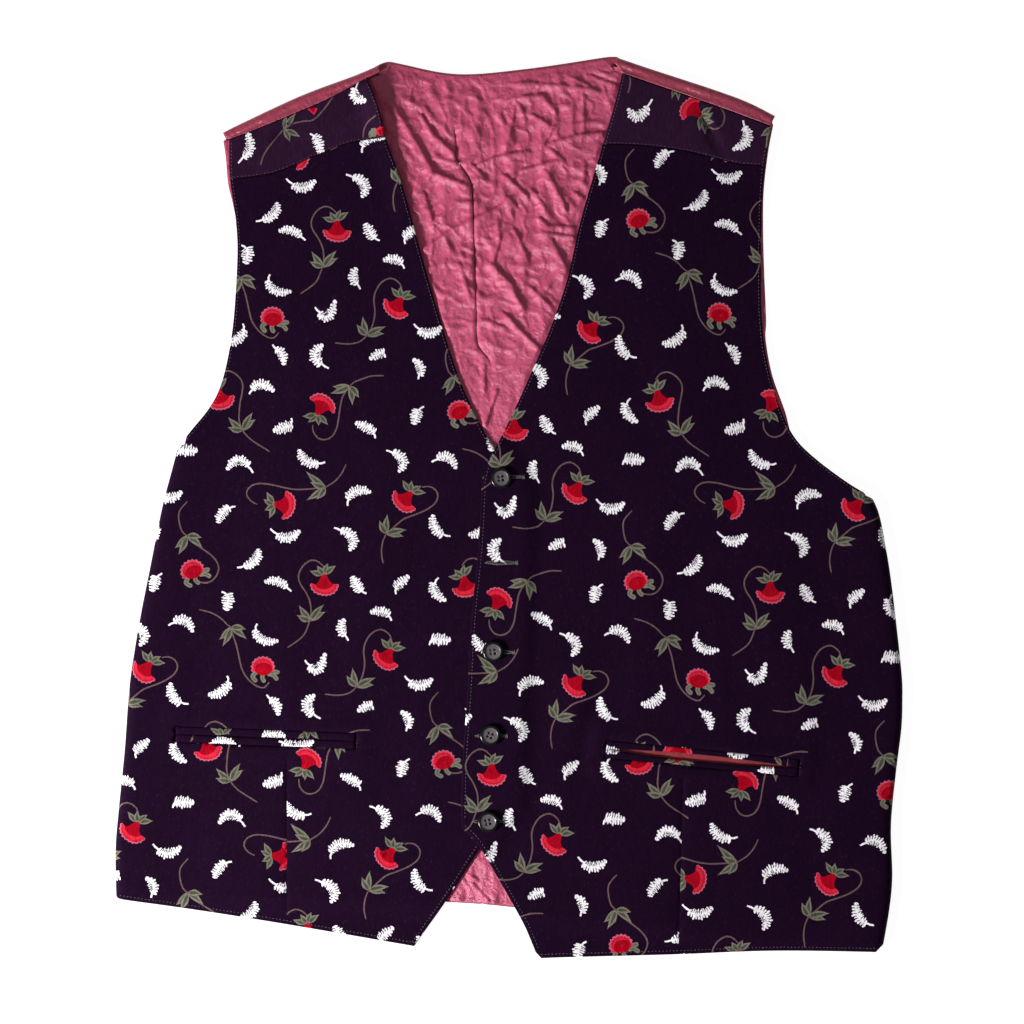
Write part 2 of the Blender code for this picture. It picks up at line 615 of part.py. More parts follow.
def add_lip(pocket, which, height):
    """One folded lip of a pocket: straight where it is sewn in, bowed where the slit gapes."""
    half_length, half_height = pocket["length"] / 2 - GAP, pocket["height"] / 2 - GAP
    along = np.linspace(-half_length, half_length, 13)
    reach = np.where(along < pocket["widest"], half_length + pocket["widest"], half_length - pocket["widest"])
    spread = 1 - ((along - pocket["widest"]) / reach) ** 2
    slit = GAP / 2 + pocket["gape"] / 2 * spread
    sign = 1 if which == "upper" else -1
    rows = [slit * sign, np.full(len(along), half_height * sign)]
    if which == "lower":
        rows.reverse()
    tilt = math.radians(pocket["tilt"])
    turn = np.array([[math.cos(tilt), math.sin(tilt)], [-math.sin(tilt), math.cos(tilt)]])
    flat = np.concatenate([np.column_stack([along, row]) for row in rows]) @ turn + [pocket["x"], pocket["y"]]
    points = np.column_stack([flat, height(flat) + (LIP_WALL - FRONT_WALL) / 2 + LIP_PROUD])
    faces = strip_faces(2, len(along))
    add_wall(add_object(f"pocket_{pocket['side']}_{which}_lip", points, faces, RAYON), LIP_WALL)


def add_pockets():
    lining_mid = BACK_WALL + LINING_WALL + 2 * GAP + POCKET_WALL / 2
    for pocket in POCKETS:
        for which in ("upper", "lower"):
            add_lip(pocket, which, front_height if pocket["side"] == "left" else right_front_height)
        sheet(f"pocket_{pocket['side']}_lining", pocket_window(pocket, POCKET_LINING_MARGIN, 30.0),
              lambda p: np.full(len(p), lining_mid), 60.0, POCKET_WALL, POCKET_SATIN)


def button_seat(button):
    """The height of the cloth under a button."""
    rim = np.array([(button["x"] + r * math.cos(a), button["y"] + r * math.sin(a))
                    for r in (0, 3, 6, BUTTON_RADIUS) for a in np.radians(np.arange(0, 360, 30))])
    return float(right_front_height(rim).max()) + FRONT_WALL / 2


def add_hole_cutter(button, number):
    """A prism that drills one of a button's four holes."""
    turn = math.radians(45 + 90 * number)
    reach = BUTTON_HOLE_PITCH / math.sqrt(2)
    ring = [(reach * math.cos(turn) + BUTTON_HOLE_RADIUS * math.cos(t),
             reach * math.sin(turn) + BUTTON_HOLE_RADIUS * math.sin(t)) for t in np.radians(np.arange(0, 360, 45))]
    n = len(ring)
    sides = [(i, (i + 1) % n, n + (i + 1) % n, n + i) for i in range(n)]
    mesh = bpy.data.meshes.new(f"{button.name}_hole_{number}")
    mesh.from_pydata([(x * MM, y * MM, z * MM) for z in (-1, 5) for x, y in ring], [],
                     [tuple(range(n))[::-1], tuple(range(n, 2 * n)), *sides])
    cutter = bpy.data.objects.new(mesh.name, mesh)
    bpy.context.scene.collection.objects.link(cutter)
    cutter.hide_render = True
    cutter.display_type = "WIRE"
    cutter.parent = button
    cut = button.modifiers.new("Hole", "BOOLEAN")
    cut.operation = "DIFFERENCE"
    cut.solver = "EXACT"
    cut.object = cutter


def add_button(name, button):
    """A turned four-hole button, seated on the right front."""
    mesh = bpy.data.meshes.new(name)
    mesh.from_pydata([(r * MM, 0, z * MM) for r, z in reversed(BUTTON_PROFILE)],
                     [(i, i + 1) for i in range(len(BUTTON_PROFILE) - 1)], [])
    obj = bpy.data.objects.new(name, mesh)
    bpy.context.scene.collection.objects.link(obj)
    turned = obj.modifiers.new("Turned", "SCREW")
    turned.steps = turned.render_steps = BUTTON_SEGMENTS
    turned.use_merge_vertices = True
    turned.merge_threshold = 0.00001
    for number in range(4):
        add_hole_cutter(obj, number)
    tilt, toward = math.radians(button["tilt"]), math.radians(button["toward"])
    foot_radius, foot_height = BUTTON_PROFILE[1]
    lift = GAP - foot_height + foot_radius * math.sin(tilt)
    obj.location = (button["x"] * MM, button["y"] * MM, (button_seat(button) + lift) * MM)
    obj.rotation_mode = "QUATERNION"
    lean = Quaternion((-math.sin(toward), math.cos(toward), 0), tilt)
    obj.rotation_quaternion = lean @ Quaternion((0, 0, 1), math.radians(button["turn"]))
    add_material(obj, **BUTTON)


def build():
    for obj in list(bpy.data.objects):
        bpy.data.objects.remove(obj)
    add_back()
    add_lining()
    add_fronts()
    add_pockets()
    for index, button in enumerate(BUTTONS, 1):
        add_button(f"button_{index}", button)


build()
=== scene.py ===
"""A man's printed waistcoat, buttoned and laid flat, with its cloth, print, creases, stitching and buttons.

Lengths are in millimetres until a mesh is made, in the frame of the solids: +X to the viewer's right, +Y
towards the neck, +Z up from the surface that it lies on. Left and right are the viewer's.
The print is charted in squares of 0.7 mm, x to the right and y down. Square (509, 508) is at the origin.
"""

import json
import math

import bmesh
import bpy
import numpy as np
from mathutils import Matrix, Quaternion, Vector, kdtree, noise
from mathutils.geometry import delaunay_2d_cdt

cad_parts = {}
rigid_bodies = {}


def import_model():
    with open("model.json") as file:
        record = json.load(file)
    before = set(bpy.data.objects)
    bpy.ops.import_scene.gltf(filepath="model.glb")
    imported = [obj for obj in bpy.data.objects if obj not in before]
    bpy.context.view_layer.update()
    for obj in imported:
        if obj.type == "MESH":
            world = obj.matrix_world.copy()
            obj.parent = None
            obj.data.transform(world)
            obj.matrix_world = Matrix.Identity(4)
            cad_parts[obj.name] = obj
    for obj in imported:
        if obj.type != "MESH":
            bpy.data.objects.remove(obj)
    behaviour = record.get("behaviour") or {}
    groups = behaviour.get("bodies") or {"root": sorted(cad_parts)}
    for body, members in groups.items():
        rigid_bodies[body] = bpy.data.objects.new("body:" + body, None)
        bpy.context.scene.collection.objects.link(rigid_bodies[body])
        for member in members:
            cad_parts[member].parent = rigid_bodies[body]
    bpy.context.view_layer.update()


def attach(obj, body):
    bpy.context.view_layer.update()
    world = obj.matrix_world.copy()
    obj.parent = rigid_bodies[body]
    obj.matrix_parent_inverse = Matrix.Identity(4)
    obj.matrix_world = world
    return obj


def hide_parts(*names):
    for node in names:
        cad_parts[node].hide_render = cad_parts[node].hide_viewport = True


MM = 0.001
SQUARE = 0.7
CHART_ORIGIN = (509, 508)
SIDES = ("left", "right")

# The sign that moves an edge of a front inwards
INWARD = {"left": -1, "right": 1}


def table(columns, rows):
    """Rows of values as dictionaries, with the columns' names."""
    return [dict(zip(columns, row)) for row in rows]


# Wall thicknesses and the seam gap
BACK_WALL = 1.0
LINING_WALL = 1.0
FRONT_WALL = 1.6
POCKET_WALL = 1.0
GAP = 0.3

# How much of its thickness a wall keeps at its rim
RIM_SHARE = 0.55

# Heights of the middle of each wall where the layers lie flat on each other
BACK_MID = BACK_WALL / 2
LINING_MID = BACK_WALL + GAP + LINING_WALL / 2
FRONT_MID = BACK_WALL + LINING_WALL + 2 * GAP + FRONT_WALL / 2
FRONT_SLACK = 0.4
LAP_RISE = FRONT_WALL + GAP + 0.1
POCKET_RISE = POCKET_WALL + GAP + 0.1

# How far the cloth puffs up along its folded sides, its shoulders and its neck
SIDE_PUFF = 2.4
SIDE_PUFF_REACH = 55.0
SHOULDER_PUFF = 2.0
SHOULDER_PUFF_REACH = 50.0
NECK_PUFF = 1.4
NECK_PUFF_REACH = 90.0
NECK_PUFF_START = 22.0

# How high the left front's neck edge stands up, by Y
NECK_LIFT = [(140, 0.0), (180, 0.8), (215, 1.6), (250, 3.4), (285, 6.4), (301, 6.4)]
NECK_LIFT_REACH = 17.0

# How far the cloth reaches out where it rolls over, and how high it comes
NECK_ROLL = 0.8
NECK_TOP = 2.75
SIDE_ROLL = 4.0
SIDE_ROLL_LENGTH = 8.0
ROLL_END = 0.4
SHOULDER_ROLL = 4.0
SHOULDER_TOP = FRONT_MID + FRONT_SLACK + SHOULDER_PUFF

# The flap of the neck's roll on the lining, and how much wider it is at the shoulder
NECK_FLAP = 0.8
SHOULDER_FLAP = 7.5
NECK_ROLL_ENDS = [(-93.5, 309), (77.5, 314.5)]

# How far the back and its lining are drawn in from the sides, and between which Y their sides run
BACK_SIDE_INSET = 2.4
LINING_INSET = 6.0
LINING_EDGE_INSET = 1.2
BACK_SIDE_SPAN = {"left": (-266, 36), "right": (-300, 2)}

# The floor, in metres, just clear of the cloth
FLOOR = -0.00015
FLOOR_REACH = 30

# The corners of a square about the origin
CORNERS = ((-1, -1), (1, -1), (1, 1), (-1, 1))

# Point spacing
COARSE = 12.0
FINE = 2.5
SHOULDER_POINTS = 61
COARSE_POINTS = 11
SHOULDER_STEP = 3.0
FRONT_STEP = 4.2
COVERED_STEP = 18.0
CRUMPLE_STEP = 1.2

# Points of an outline this near to each other count as one, and smaller triangles than this are left out
DOUBLED = 0.5
SLIVER_AREA = 1e-4

# Edges of the pieces, as points (x, y) that a smooth curve goes through
EDGES = {
    "left": {
        "neckline": [(-99, 301), (-90.5, 278), (-85, 255), (-75, 227.5), (-56.7, 161), (-36.4, 95),
                     (-20.3, 58.8), (-9.8, 41.3), (8.4, 12.6)],
        "front edge": [(8.4, 12.6), (5.6, -100.8), (2.8, -205.8)],
        "cutaway": [(2.8, -205.8), (-21.7, -240.4), (-44.8, -276.1), (-66.5, -307.2)],
        "hem": [(-66.5, -307.2), (-157.5, -291.6), (-219.8, -281.6), (-274.5, -273)],
        "side": [(-275.4, -273), (-275.9, -239.4), (-273.7, -211.4), (-269.5, -169.4), (-266.4, -127.4),
                 (-262.5, -99.4), (-257.6, -71.4), (-252, -43.4), (-243.6, -1.4), (-236.4, 26.6),
                 (-232.4, 41.3)],
        "armhole": [(-232.4, 41.3), (-221.9, 54.6), (-210.7, 68.6), (-203, 82.6), (-197.4, 102.2),
                    (-193.2, 128.1), (-190.8, 159.6), (-190.1, 185.5), (-192.2, 209.3), (-195.3, 231),
                    (-195.7, 257.8)],
        "yoke seam": [(-195.3, 230.5), (-177.1, 232.4), (-160.1, 236.2), (-133, 247.7), (-110, 256),
                      (-86, 259)],
        "shoulder seam": [(-195.7, 257.8), (-175.4, 265.4), (-141.5, 279.4), (-124.5, 287), (-99, 301)],
        "shoulder fold": [(-200.4, 262.9), (-183.8, 271), (-144.9, 289), (-107.5, 303), (-91.4, 310)],
    },
    "right": {
        "neckline": [(79, 304), (75, 287), (67.2, 259.7), (50.4, 202.3), (41, 161), (29.4, 127.1),
                     (15.8, 95.2), (2.1, 65.1), (-9.8, 41.3), (-16.4, 26.6), (-19.3, 11.9)],
        "front edge": [(-19.3, 11.9), (-21.7, -30.8), (-26.6, -79.8), (-29.1, -127.4), (-32.6, -179.9),
                       (-33.5, -219.8)],
        "cutaway": [(-32.6, -224), (-21.3, -236), (-4.2, -265.3), (9.4, -289.7), (18.7, -311.5)],
        "hem": [(22.6, -315.6), (47.6, -314.8), (118.7, -312.9), (184.8, -310.3), (258.1, -310.6)],
        "side": [(262.3, -306.8), (266.7, -281.4), (268.8, -258), (267.9, -222), (271.6, -183.4),
                 (275.1, -155.4), (275.9, -134.4), (275.1, -113.4), (268.8, -57.4), (264.6, -29.4),
                 (259.7, -4.9), (254.8, 7)],
        "armhole": [(254.8, 7), (237, 17.6), (214.7, 34.4), (200.2, 49), (190.7, 67.9), (181.7, 98),
                    (177.3, 127), (176.3, 160), (177.1, 215.6), (180.6, 250.6), (183.8, 266.7)],
        "yoke seam": [(65.5, 255), (93.8, 254), (124.3, 250), (151.8, 243.1), (163.7, 240.7), (179.6, 240)],
        "shoulder seam": [(79, 304), (108.5, 293.9), (147.9, 280), (183.8, 266.7)],
        "shoulder fold": [(75.5, 315.5), (98.8, 307.6), (144, 292.8), (167.6, 284), (186.3, 274.5)],
    },
}

BACK_NECK = [(-85.5, 312.2), (-76.4, 310.9), (-47.5, 304.8), (-23.9, 303.7), (11.5, 307.2), (38.3, 310.9),
             (71, 315.8)]
BACK_LEFT_ARMHOLE = [(-200.6, 259), (-198.6, 245.7), (-197, 227.5), (-193.6, 212.8), (-188.6, 185.5),
                     (-189.3, 159.6), (-191.7, 128.1), (-196, 102.2), (-201.4, 82.6), (-209, 68.6),
                     (-220, 54.6), (-230.8, 40)]
BACK_RIGHT_ARMHOLE = [(253, 5.8), (236, 16), (213.4, 33), (199.6, 48), (193.5, 67.9), (184.5, 93.5),
                      (180, 118.1), (180.3, 131.6), (178.9, 167.3), (178.2, 195), (178.6, 222),
                      (181.8, 250), (185.6, 270)]
BACK_HEM = [(-273.5, -269.5), (-165, -269), (-44.8, -276.1), (2.8, -279.9), (130, -294), (260, -303.5)]

# The seams down the middle of the back and of its lining, which lie askew. The lining laps over on the left
BACK_SEAM = [(-38, 316), (-30, 120), (-24, -80), (-18.5, -290)]
LINING_SEAM = [(-40, 312), (-39, 274), (-37, 253), (-37.5, 246), (-30.5, 235), (-26.5, 227), (-25, 205),
               (-24, 170), (-23, 141), (-22, 115), (-12.5, 99), (-13.5, 60), (-16, -100), (-18.5, -285)]
PLEAT_RISE = 0.7
PLEAT_REACH = 11.0

# How far the lining's seam stands open, between which Y it does, and the groove along it
SEAM_CLOSED = 0.02
SEAM_WIDEST = 1.1
SEAM_OPEN = (97.0, 272.0)
GROOVE = 1.1
GROOVE_WIDTH = 1.3

# Soft folds of the fronts and yokes. The turn is in degrees, the length and the width are half of the fold's
FOLD_COLUMNS = ("x", "y", "turn", "length", "width", "rise")
FOLDS = table(FOLD_COLUMNS, [
    (66, -150, 72, 52, 11, -0.9), (44, -140, 78, 50, 12, 0.9), (98, -62, 80, 70, 16, 0.8),
    (30, -70, 28, 34, 10, 0.7), (190, -80, 96, 90, 20, 0.8), (230, -215, 88, 60, 15, 0.8),
    (120, 90, 100, 80, 20, 0.9), (-232, -140, 86, 38, 9, 0.8), (-158, -120, 91, 52, 11, 0.8),
    (-95, -60, 84, 80, 18, 0.8), (-60, -215, 80, 50, 14, 0.7), (-150, 60, 70, 70, 20, 0.9),
    (-154, 254, 58, 17, 6, -1.0), (142, 262, -62, 20, 5, -1.0),
])

# Darts from the pockets to the hem: their lines, the soft dip about them and the sharp line of their seam
DARTS = {"left": [(-155.4, -176), (-155.8, -291)], "right": [(121.8, -190), (118.7, -312)]}
DART_DEPTH = 0.35
DART_WIDTH = 5
DART_SEAM = 0.45
DART_SEAM_WIDTH = 0.9

# Finer folds that only show in the cloth: drag lines over the pockets and soft waves at the waist
DRAGS = table(FOLD_COLUMNS, [
    (-232, -142, 84, 22, 2.6, 0.5), (-226, -140, 88, 20, 2.4, 0.4), (-238, -136, 82, 18, 2.6, 0.4),
    (-154, -146, 90, 16, 2.2, 0.4), (-234, -186, 90, 16, 1.8, -0.35), (50, -118, 84, 36, 4.5, 0.45),
    (59, -140, 76, 30, 3.6, -0.55), (62, -164, 70, 18, 3.4, 0.5), (148, -120, 92, 46, 6.0, 0.4),
    (-60, -130, 88, 60, 7.0, 0.35), (-210, -60, 80, 50, 7.0, 0.4), (210, -160, 95, 40, 6.0, 0.4),
    (90, 190, 84, 40, 9.0, 0.4), (-120, 180, 98, 44, 9.0, 0.4), (141.4, 263.6, -62, 13, 2.2, -2.0),
    (145.6, 265.7, -62, 13, 2.6, 1.2), (-162.0, 257.5, 64, 11, 2.4, -1.7),
    (-157.6, 255.8, 64, 12, 2.8, 1.0),
])
STILL_ROUND_BUTTON = 8.0

# Noise that waves the fronts a little: its rise, the size of its lumps, its seed and its stretch
RIPPLES = [(0.16, 26, 3.1, (1, 0.4)), (0.07, 9, 7.7, (1, 0.5))]

# How far the cloth sags on the shoulders, with noise given in the same way
SHOULDER_SAG = 0.25
SHOULDER_RIPPLES = [(0.7, 13, 5.5), (0.35, 5, 3.3)]

# Creases of the lining: a line in chart squares, the height of the fold beside it and its half-width
CREASES = table(("line", "rise", "width"), [
    ([(422, 116.6), (433.6, 135), (455, 155)], 1.1, 4.0),
    ([(391.5, 104), (406.8, 127), (419.8, 149), (432, 170)], 1.3, 4.6),
    ([(415, 190), (430.5, 173), (447, 178), (465.7, 185.5)], 1.2, 3.6),
    ([(424, 193), (433.6, 225)], 0.7, 3.0), ([(435, 222), (456.5, 202), (470, 202)], 1.1, 3.4),
    ([(423, 250), (455, 228), (475, 219), (496, 210), (510, 198)], 1.2, 4.4),
    ([(459.6, 263.6), (464, 278), (469.8, 296)], 0.7, 2.8),
    ([(479.5, 164), (496, 158), (522, 152)], 1.2, 4.0), ([(473, 165.6), (482.6, 176)], 0.9, 2.8),
    ([(519, 104), (525, 118)], 0.8, 3.0), ([(514.7, 109), (507, 146)], 0.8, 3.4),
    ([(533, 115), (548, 124)], 0.8, 2.8), ([(555, 126), (543.8, 144)], 0.9, 3.0),
    ([(553, 142.7), (582, 135), (602, 133.5)], 1.2, 3.6), ([(550, 149), (563.7, 161)], 0.9, 2.8),
    ([(522.4, 170), (557.6, 161)], 1.0, 3.2), ([(546.8, 171.7), (560.6, 198), (565, 207)], 1.3, 3.6),
    ([(505.5, 176), (521, 190), (527, 196)], 1.1, 3.2), ([(510, 199), (514.7, 205)], 0.7, 2.4),
    ([(534.6, 193), (545, 208.5)], 0.9, 3.0), ([(540.7, 219), (548, 227), (571, 227)], 1.0, 3.2),
    ([(542, 233), (576, 237.6)], 1.1, 3.2), ([(514.7, 230), (527, 257.5)], 0.9, 3.2),
    ([(498, 221), (499.4, 241), (493, 262)], 0.9, 3.2),
    ([(492, 264.7), (502, 275), (512, 285), (515.4, 296), (521.7, 304.7)], 1.5, 4.2),
    ([(551, 239), (568, 271)], 0.9, 3.4), ([(585, 165.6), (583.6, 182)], 0.7, 2.8),
    ([(576, 193), (583, 198)], 0.7, 2.6), ([(583.6, 97), (583.6, 133.5)], 0.7, 3.4),
    ([(571, 77), (589.7, 86)], 0.7, 2.8), ([(521, 83), (563.7, 86), (597, 90.6)], 0.9, 3.4),
    ([(589.7, 75), (617, 86)], 0.6, 2.8), ([(522, 97), (542, 95), (554.5, 110.5)], 1.0, 3.4),
    ([(531.5, 288), (551, 307.5)], 0.8, 3.0), ([(506, 314.5), (520, 330), (538.6, 348)], 1.0, 3.6),
    ([(484, 320), (503, 327)], 0.7, 3.0), ([(484, 365), (484.5, 390)], 0.6, 2.8),
    ([(496.5, 392), (485, 425)], 0.8, 3.0), ([(465.6, 873), (477, 880)], 0.6, 2.2),
    ([(462, 878.5), (470.5, 890)], 0.5, 2.2), ([(472, 883.5), (482, 894), (489, 901)], 0.6, 2.4),
])
CREASE_GAIN = 2.2
CREASE_STEEPNESS = 1.5
STEEP_WIDTH = 0.26
GENTLE_WIDTH = 0.85
MOST_CRUMPLE = 4.2

# Finer crinkle of the lining, in sharp ridges and in soft lumps, given as the ripples are
CRINKLE_RIDGES = [(1.3, 34, 1.3, (1, 0.8)), (1.3, 19, 4.9, (0.8, 1)), (0.9, 11, 6.1, (1, 1))]
CRINKLE_LUMPS = [(1.2, 22, 9.1, (1, 1)), (0.4, 6, 5.7, (1, 1))]

# Pockets: the middle of the slit, its tilt, the two lips together, and how far the slit gapes
POCKETS = table(("side", "x", "y", "tilt", "length", "height", "gape", "widest"), [
    ("left", -170.2, -160.6, -2.2, 127, 11.4, 1.0, -22), ("right", 135.5, -175.2, -5.6, 136, 12.6, 5.4, -3),
])
POCKET_FEATHER = 14.0
POCKET_LINING_MARGIN = 2.5
LIP_WALL = 1.8
LIP_PROUD = 0.2

# How a lip rounds over at its fold and dips at its seam, and where its rows of points run across it
LIP_ROUND = 0.5
LIP_ROUND_REACH = 1.6
LIP_DIP = 0.35
LIP_DIP_REACH = 0.7
LIP_ROWS = (0.06, 0.14, 0.26, 0.42, 0.6, 0.78, 0.92)

# Buttons: four holes each, through four of the five buttonholes
BUTTON_RADIUS = 7.5
BUTTON_PROFILE = [(0, 2.3), (4.2, 2.35), (4.9, 2.5), (5.3, 2.8), (5.8, 3.0), (6.4, 2.9), (7.0, 2.45),
                  (7.35, 1.9), (7.5, 1.5)]
BUTTON_BASE = [(0, 0.2), (4.2, 0.2), (6.4, 0.7), (7.5, 1.2)]
BUTTON_HOLE_RADIUS = 0.9
BUTTON_HOLE_PITCH = 2.7
BUTTON_FACE_RADIUS = 5.35
BUTTON_RINGS = (7.44, 7.3, 7.1, 6.85, 6.55, 6.25, 5.95, 5.6, 5.3, 4.9, 4.4, 3.6)
BUTTON_SEGMENTS = 72
BUTTONS = table(("x", "y", "turn", "tilt", "toward"), [
    (-5.7, 20.6, 8, 3, 60), (-11.3, -100.4, 4, 3, 30), (-13.2, -158.8, -24, 3, 40),
    (-14.6, -219.3, 12, 2, 100),
])

# Worked buttonholes: the middle of each slit
BUTTONHOLES = [(-0.9, 21.7), (-5.6, -38.3), (-7.7, -100.8), (-12.8, -159.3), (-14.7, -219.1)]
BUTTONHOLE_LENGTH = 21
BUTTONHOLE_SLIT = 0.7

# How far stitching runs inside each edge of a front, and the lengths of a stitch and of the gap after it
STITCHED = table(("edge", "left", "right"), [
    ("neckline", 1.7, 1.7), ("front edge", 2.4, 2.6), ("cutaway", 2.8, 2.8), ("hem", 2.6, 2.6),
    ("armhole", 1.6, 1.6),
])
EDGE_STITCH = (1.2, 1.3)
SEAM_STITCH = (0.7, 2.0)
HEM_STITCH = (1.8, 1.6)
NECK_STITCH = (1.5, 1.5)

# Area lamps that face the origin, in metres and watts, and the strength of the white sky
LAMPS = table(("name", "place", "width", "power"), [
    ("key", (-1.35, -0.7, 0.8), 0.34, 53),
    ("fill", (1.1, 0.9, 1.8), 1.6, 2.2),
    ("top", (-0.2, 0.4, 2.4), 1.8, 3.4),
])
SKY = 0.12

# The camera's lens and sensor in millimetres, and how wide a view it has of the surface, in metres
LENS = 85
SENSOR = 36
PICTURE_WIDTH = 0.7168

# Inks of the print, as sRGB
INKS = [
    ("ground", (24, 3, 28)),
    ("yoke ground", (40, 16, 41)),
    ("white", (238, 233, 238)),
    ("slit", (22, 6, 28)),
    ("red", (160, 0, 24)),
    ("dark red", (112, 0, 20)),
    ("coral", (204, 36, 58)),
    ("pale coral", (222, 84, 102)),
    ("mauve", (164, 92, 118)),
    ("leaf", (112, 110, 96)),
    ("vein", (68, 68, 58)),
    ("stem", (100, 78, 78)),
]
INK_NUMBER = {name: index for index, (name, _) in enumerate(INKS)}

# The repeat: where its first flower lies on each front, and how far it moves along and down
REPEATS = {
    "left": {"origin": (337, 229), "along": (251, 192), "down": (-12, 352)},
    "right": {"origin": (787.3, 223.5), "along": (252.5, 204), "down": (-16, 361)},
}

# Flowers on their stems. A bell faces down at turn 0, and a rosette is upright. The node carries the leaves
FLOWERS = {
    "A": {"kind": "bell", "at": (337, 229), "turn": 0, "node": (323.2, 266.8), "axis": 90,
          "stem": [(336.8, 213.5), (331.2, 208.2), (324.2, 206.5), (315.8, 212.1), (311.1, 221.9),
                   (313, 230.3), (318.6, 238.8), (322.8, 248.6), (323.8, 259.8)],
          "tail": [(322, 268.2), (315.8, 282.2), (300.3, 293.8)]},
    "B": {"kind": "rosette", "at": (263.1, 666.6), "turn": 0, "node": (231.5, 627.3), "axis": -75,
          "stem": [(269.4, 682), (264.5, 687.4), (257.5, 686.3), (249.1, 680), (242.8, 670.8), (240, 661),
                   (237.9, 651.2), (235.8, 642.8), (232.9, 634.4)],
          "tail": [(227.3, 624.5), (221, 618.2), (211.2, 612.6), (199.3, 609.4)]},
    "C": {"kind": "bell", "at": (397.5, 305), "turn": -32, "node": (367, 335.3), "axis": 65,
          "stem": [(402.1, 290.7), (400, 283.7), (391.5, 278.3), (381.7, 282.3), (375.4, 292.1), (374, 300.5),
                   (375, 310.3), (374, 320.1), (371.2, 328.6)],
          "tail": [(360.7, 341.2), (349.4, 344), (335.1, 342.9)]},
    "D": {"kind": "bell", "at": (321.2, 407.4), "turn": 150, "node": (350, 386.3), "axis": 240,
          "stem": [(312.8, 424.9), (313.5, 431.9), (318.4, 438.2), (325.4, 439.6), (332.4, 436.1),
                   (336.9, 427.7), (338.7, 417.9), (340.1, 408.1), (342.2, 398.2), (346.5, 390.5)],
          "tail": [(354.2, 382.1), (362, 379.1), (371.9, 376), (383.8, 375.7)]},
    "E": {"kind": "rosette", "at": (192.3, 569.8), "turn": 22, "node": (187.4, 535.6), "axis": -75,
          "stem": [(196.4, 580.6), (203.6, 582.4), (212, 580.6), (218, 572.2), (218, 564), (212, 555.6),
                   (202.4, 548.5), (190.8, 540.4)],
          "tail": [(182.2, 531), (179.3, 520.2), (180, 510.6), (187.6, 501.3)]},
    "G": {"kind": "bell", "at": (282.6, 504.9), "turn": 84, "node": (325.4, 487.3), "axis": 187,
          "stem": [(257.4, 504.2), (251, 500.7), (246.8, 494.4), (248.9, 488), (255.3, 484.1), (263.7, 483.5),
                   (274.9, 485.2), (286.1, 488), (297.3, 489.4), (311.4, 488.7)],
          "tail": [(335.2, 481), (342.2, 472.6), (346.2, 464.2)]},
    "H": {"kind": "bell", "at": (406.1, 498.6), "turn": -40, "node": (386.4, 533.6), "axis": 50,
          "stem": [(422.2, 487.3), (429.2, 486.6), (435.6, 490.1), (437.9, 496.5), (434.9, 503.5),
                   (426.4, 509.8), (415.2, 514.7), (404, 518.9), (397, 524.5), (391.4, 529.4)],
          "tail": [(382.9, 541.4), (381.5, 552.6), (383.2, 563.5)]},
    "I": {"kind": "bell", "at": (220, 397), "turn": 14, "node": (242.6, 430.4), "axis": 100,
          "stem": [(216.6, 378.5), (220.7, 373), (228.2, 370.7), (237.1, 375.1), (242.6, 383.3),
                   (241.9, 394.3), (239.9, 405.2), (239.2, 420.2)],
          "tail": [(250.8, 439.4), (269.9, 451.6)]},
}

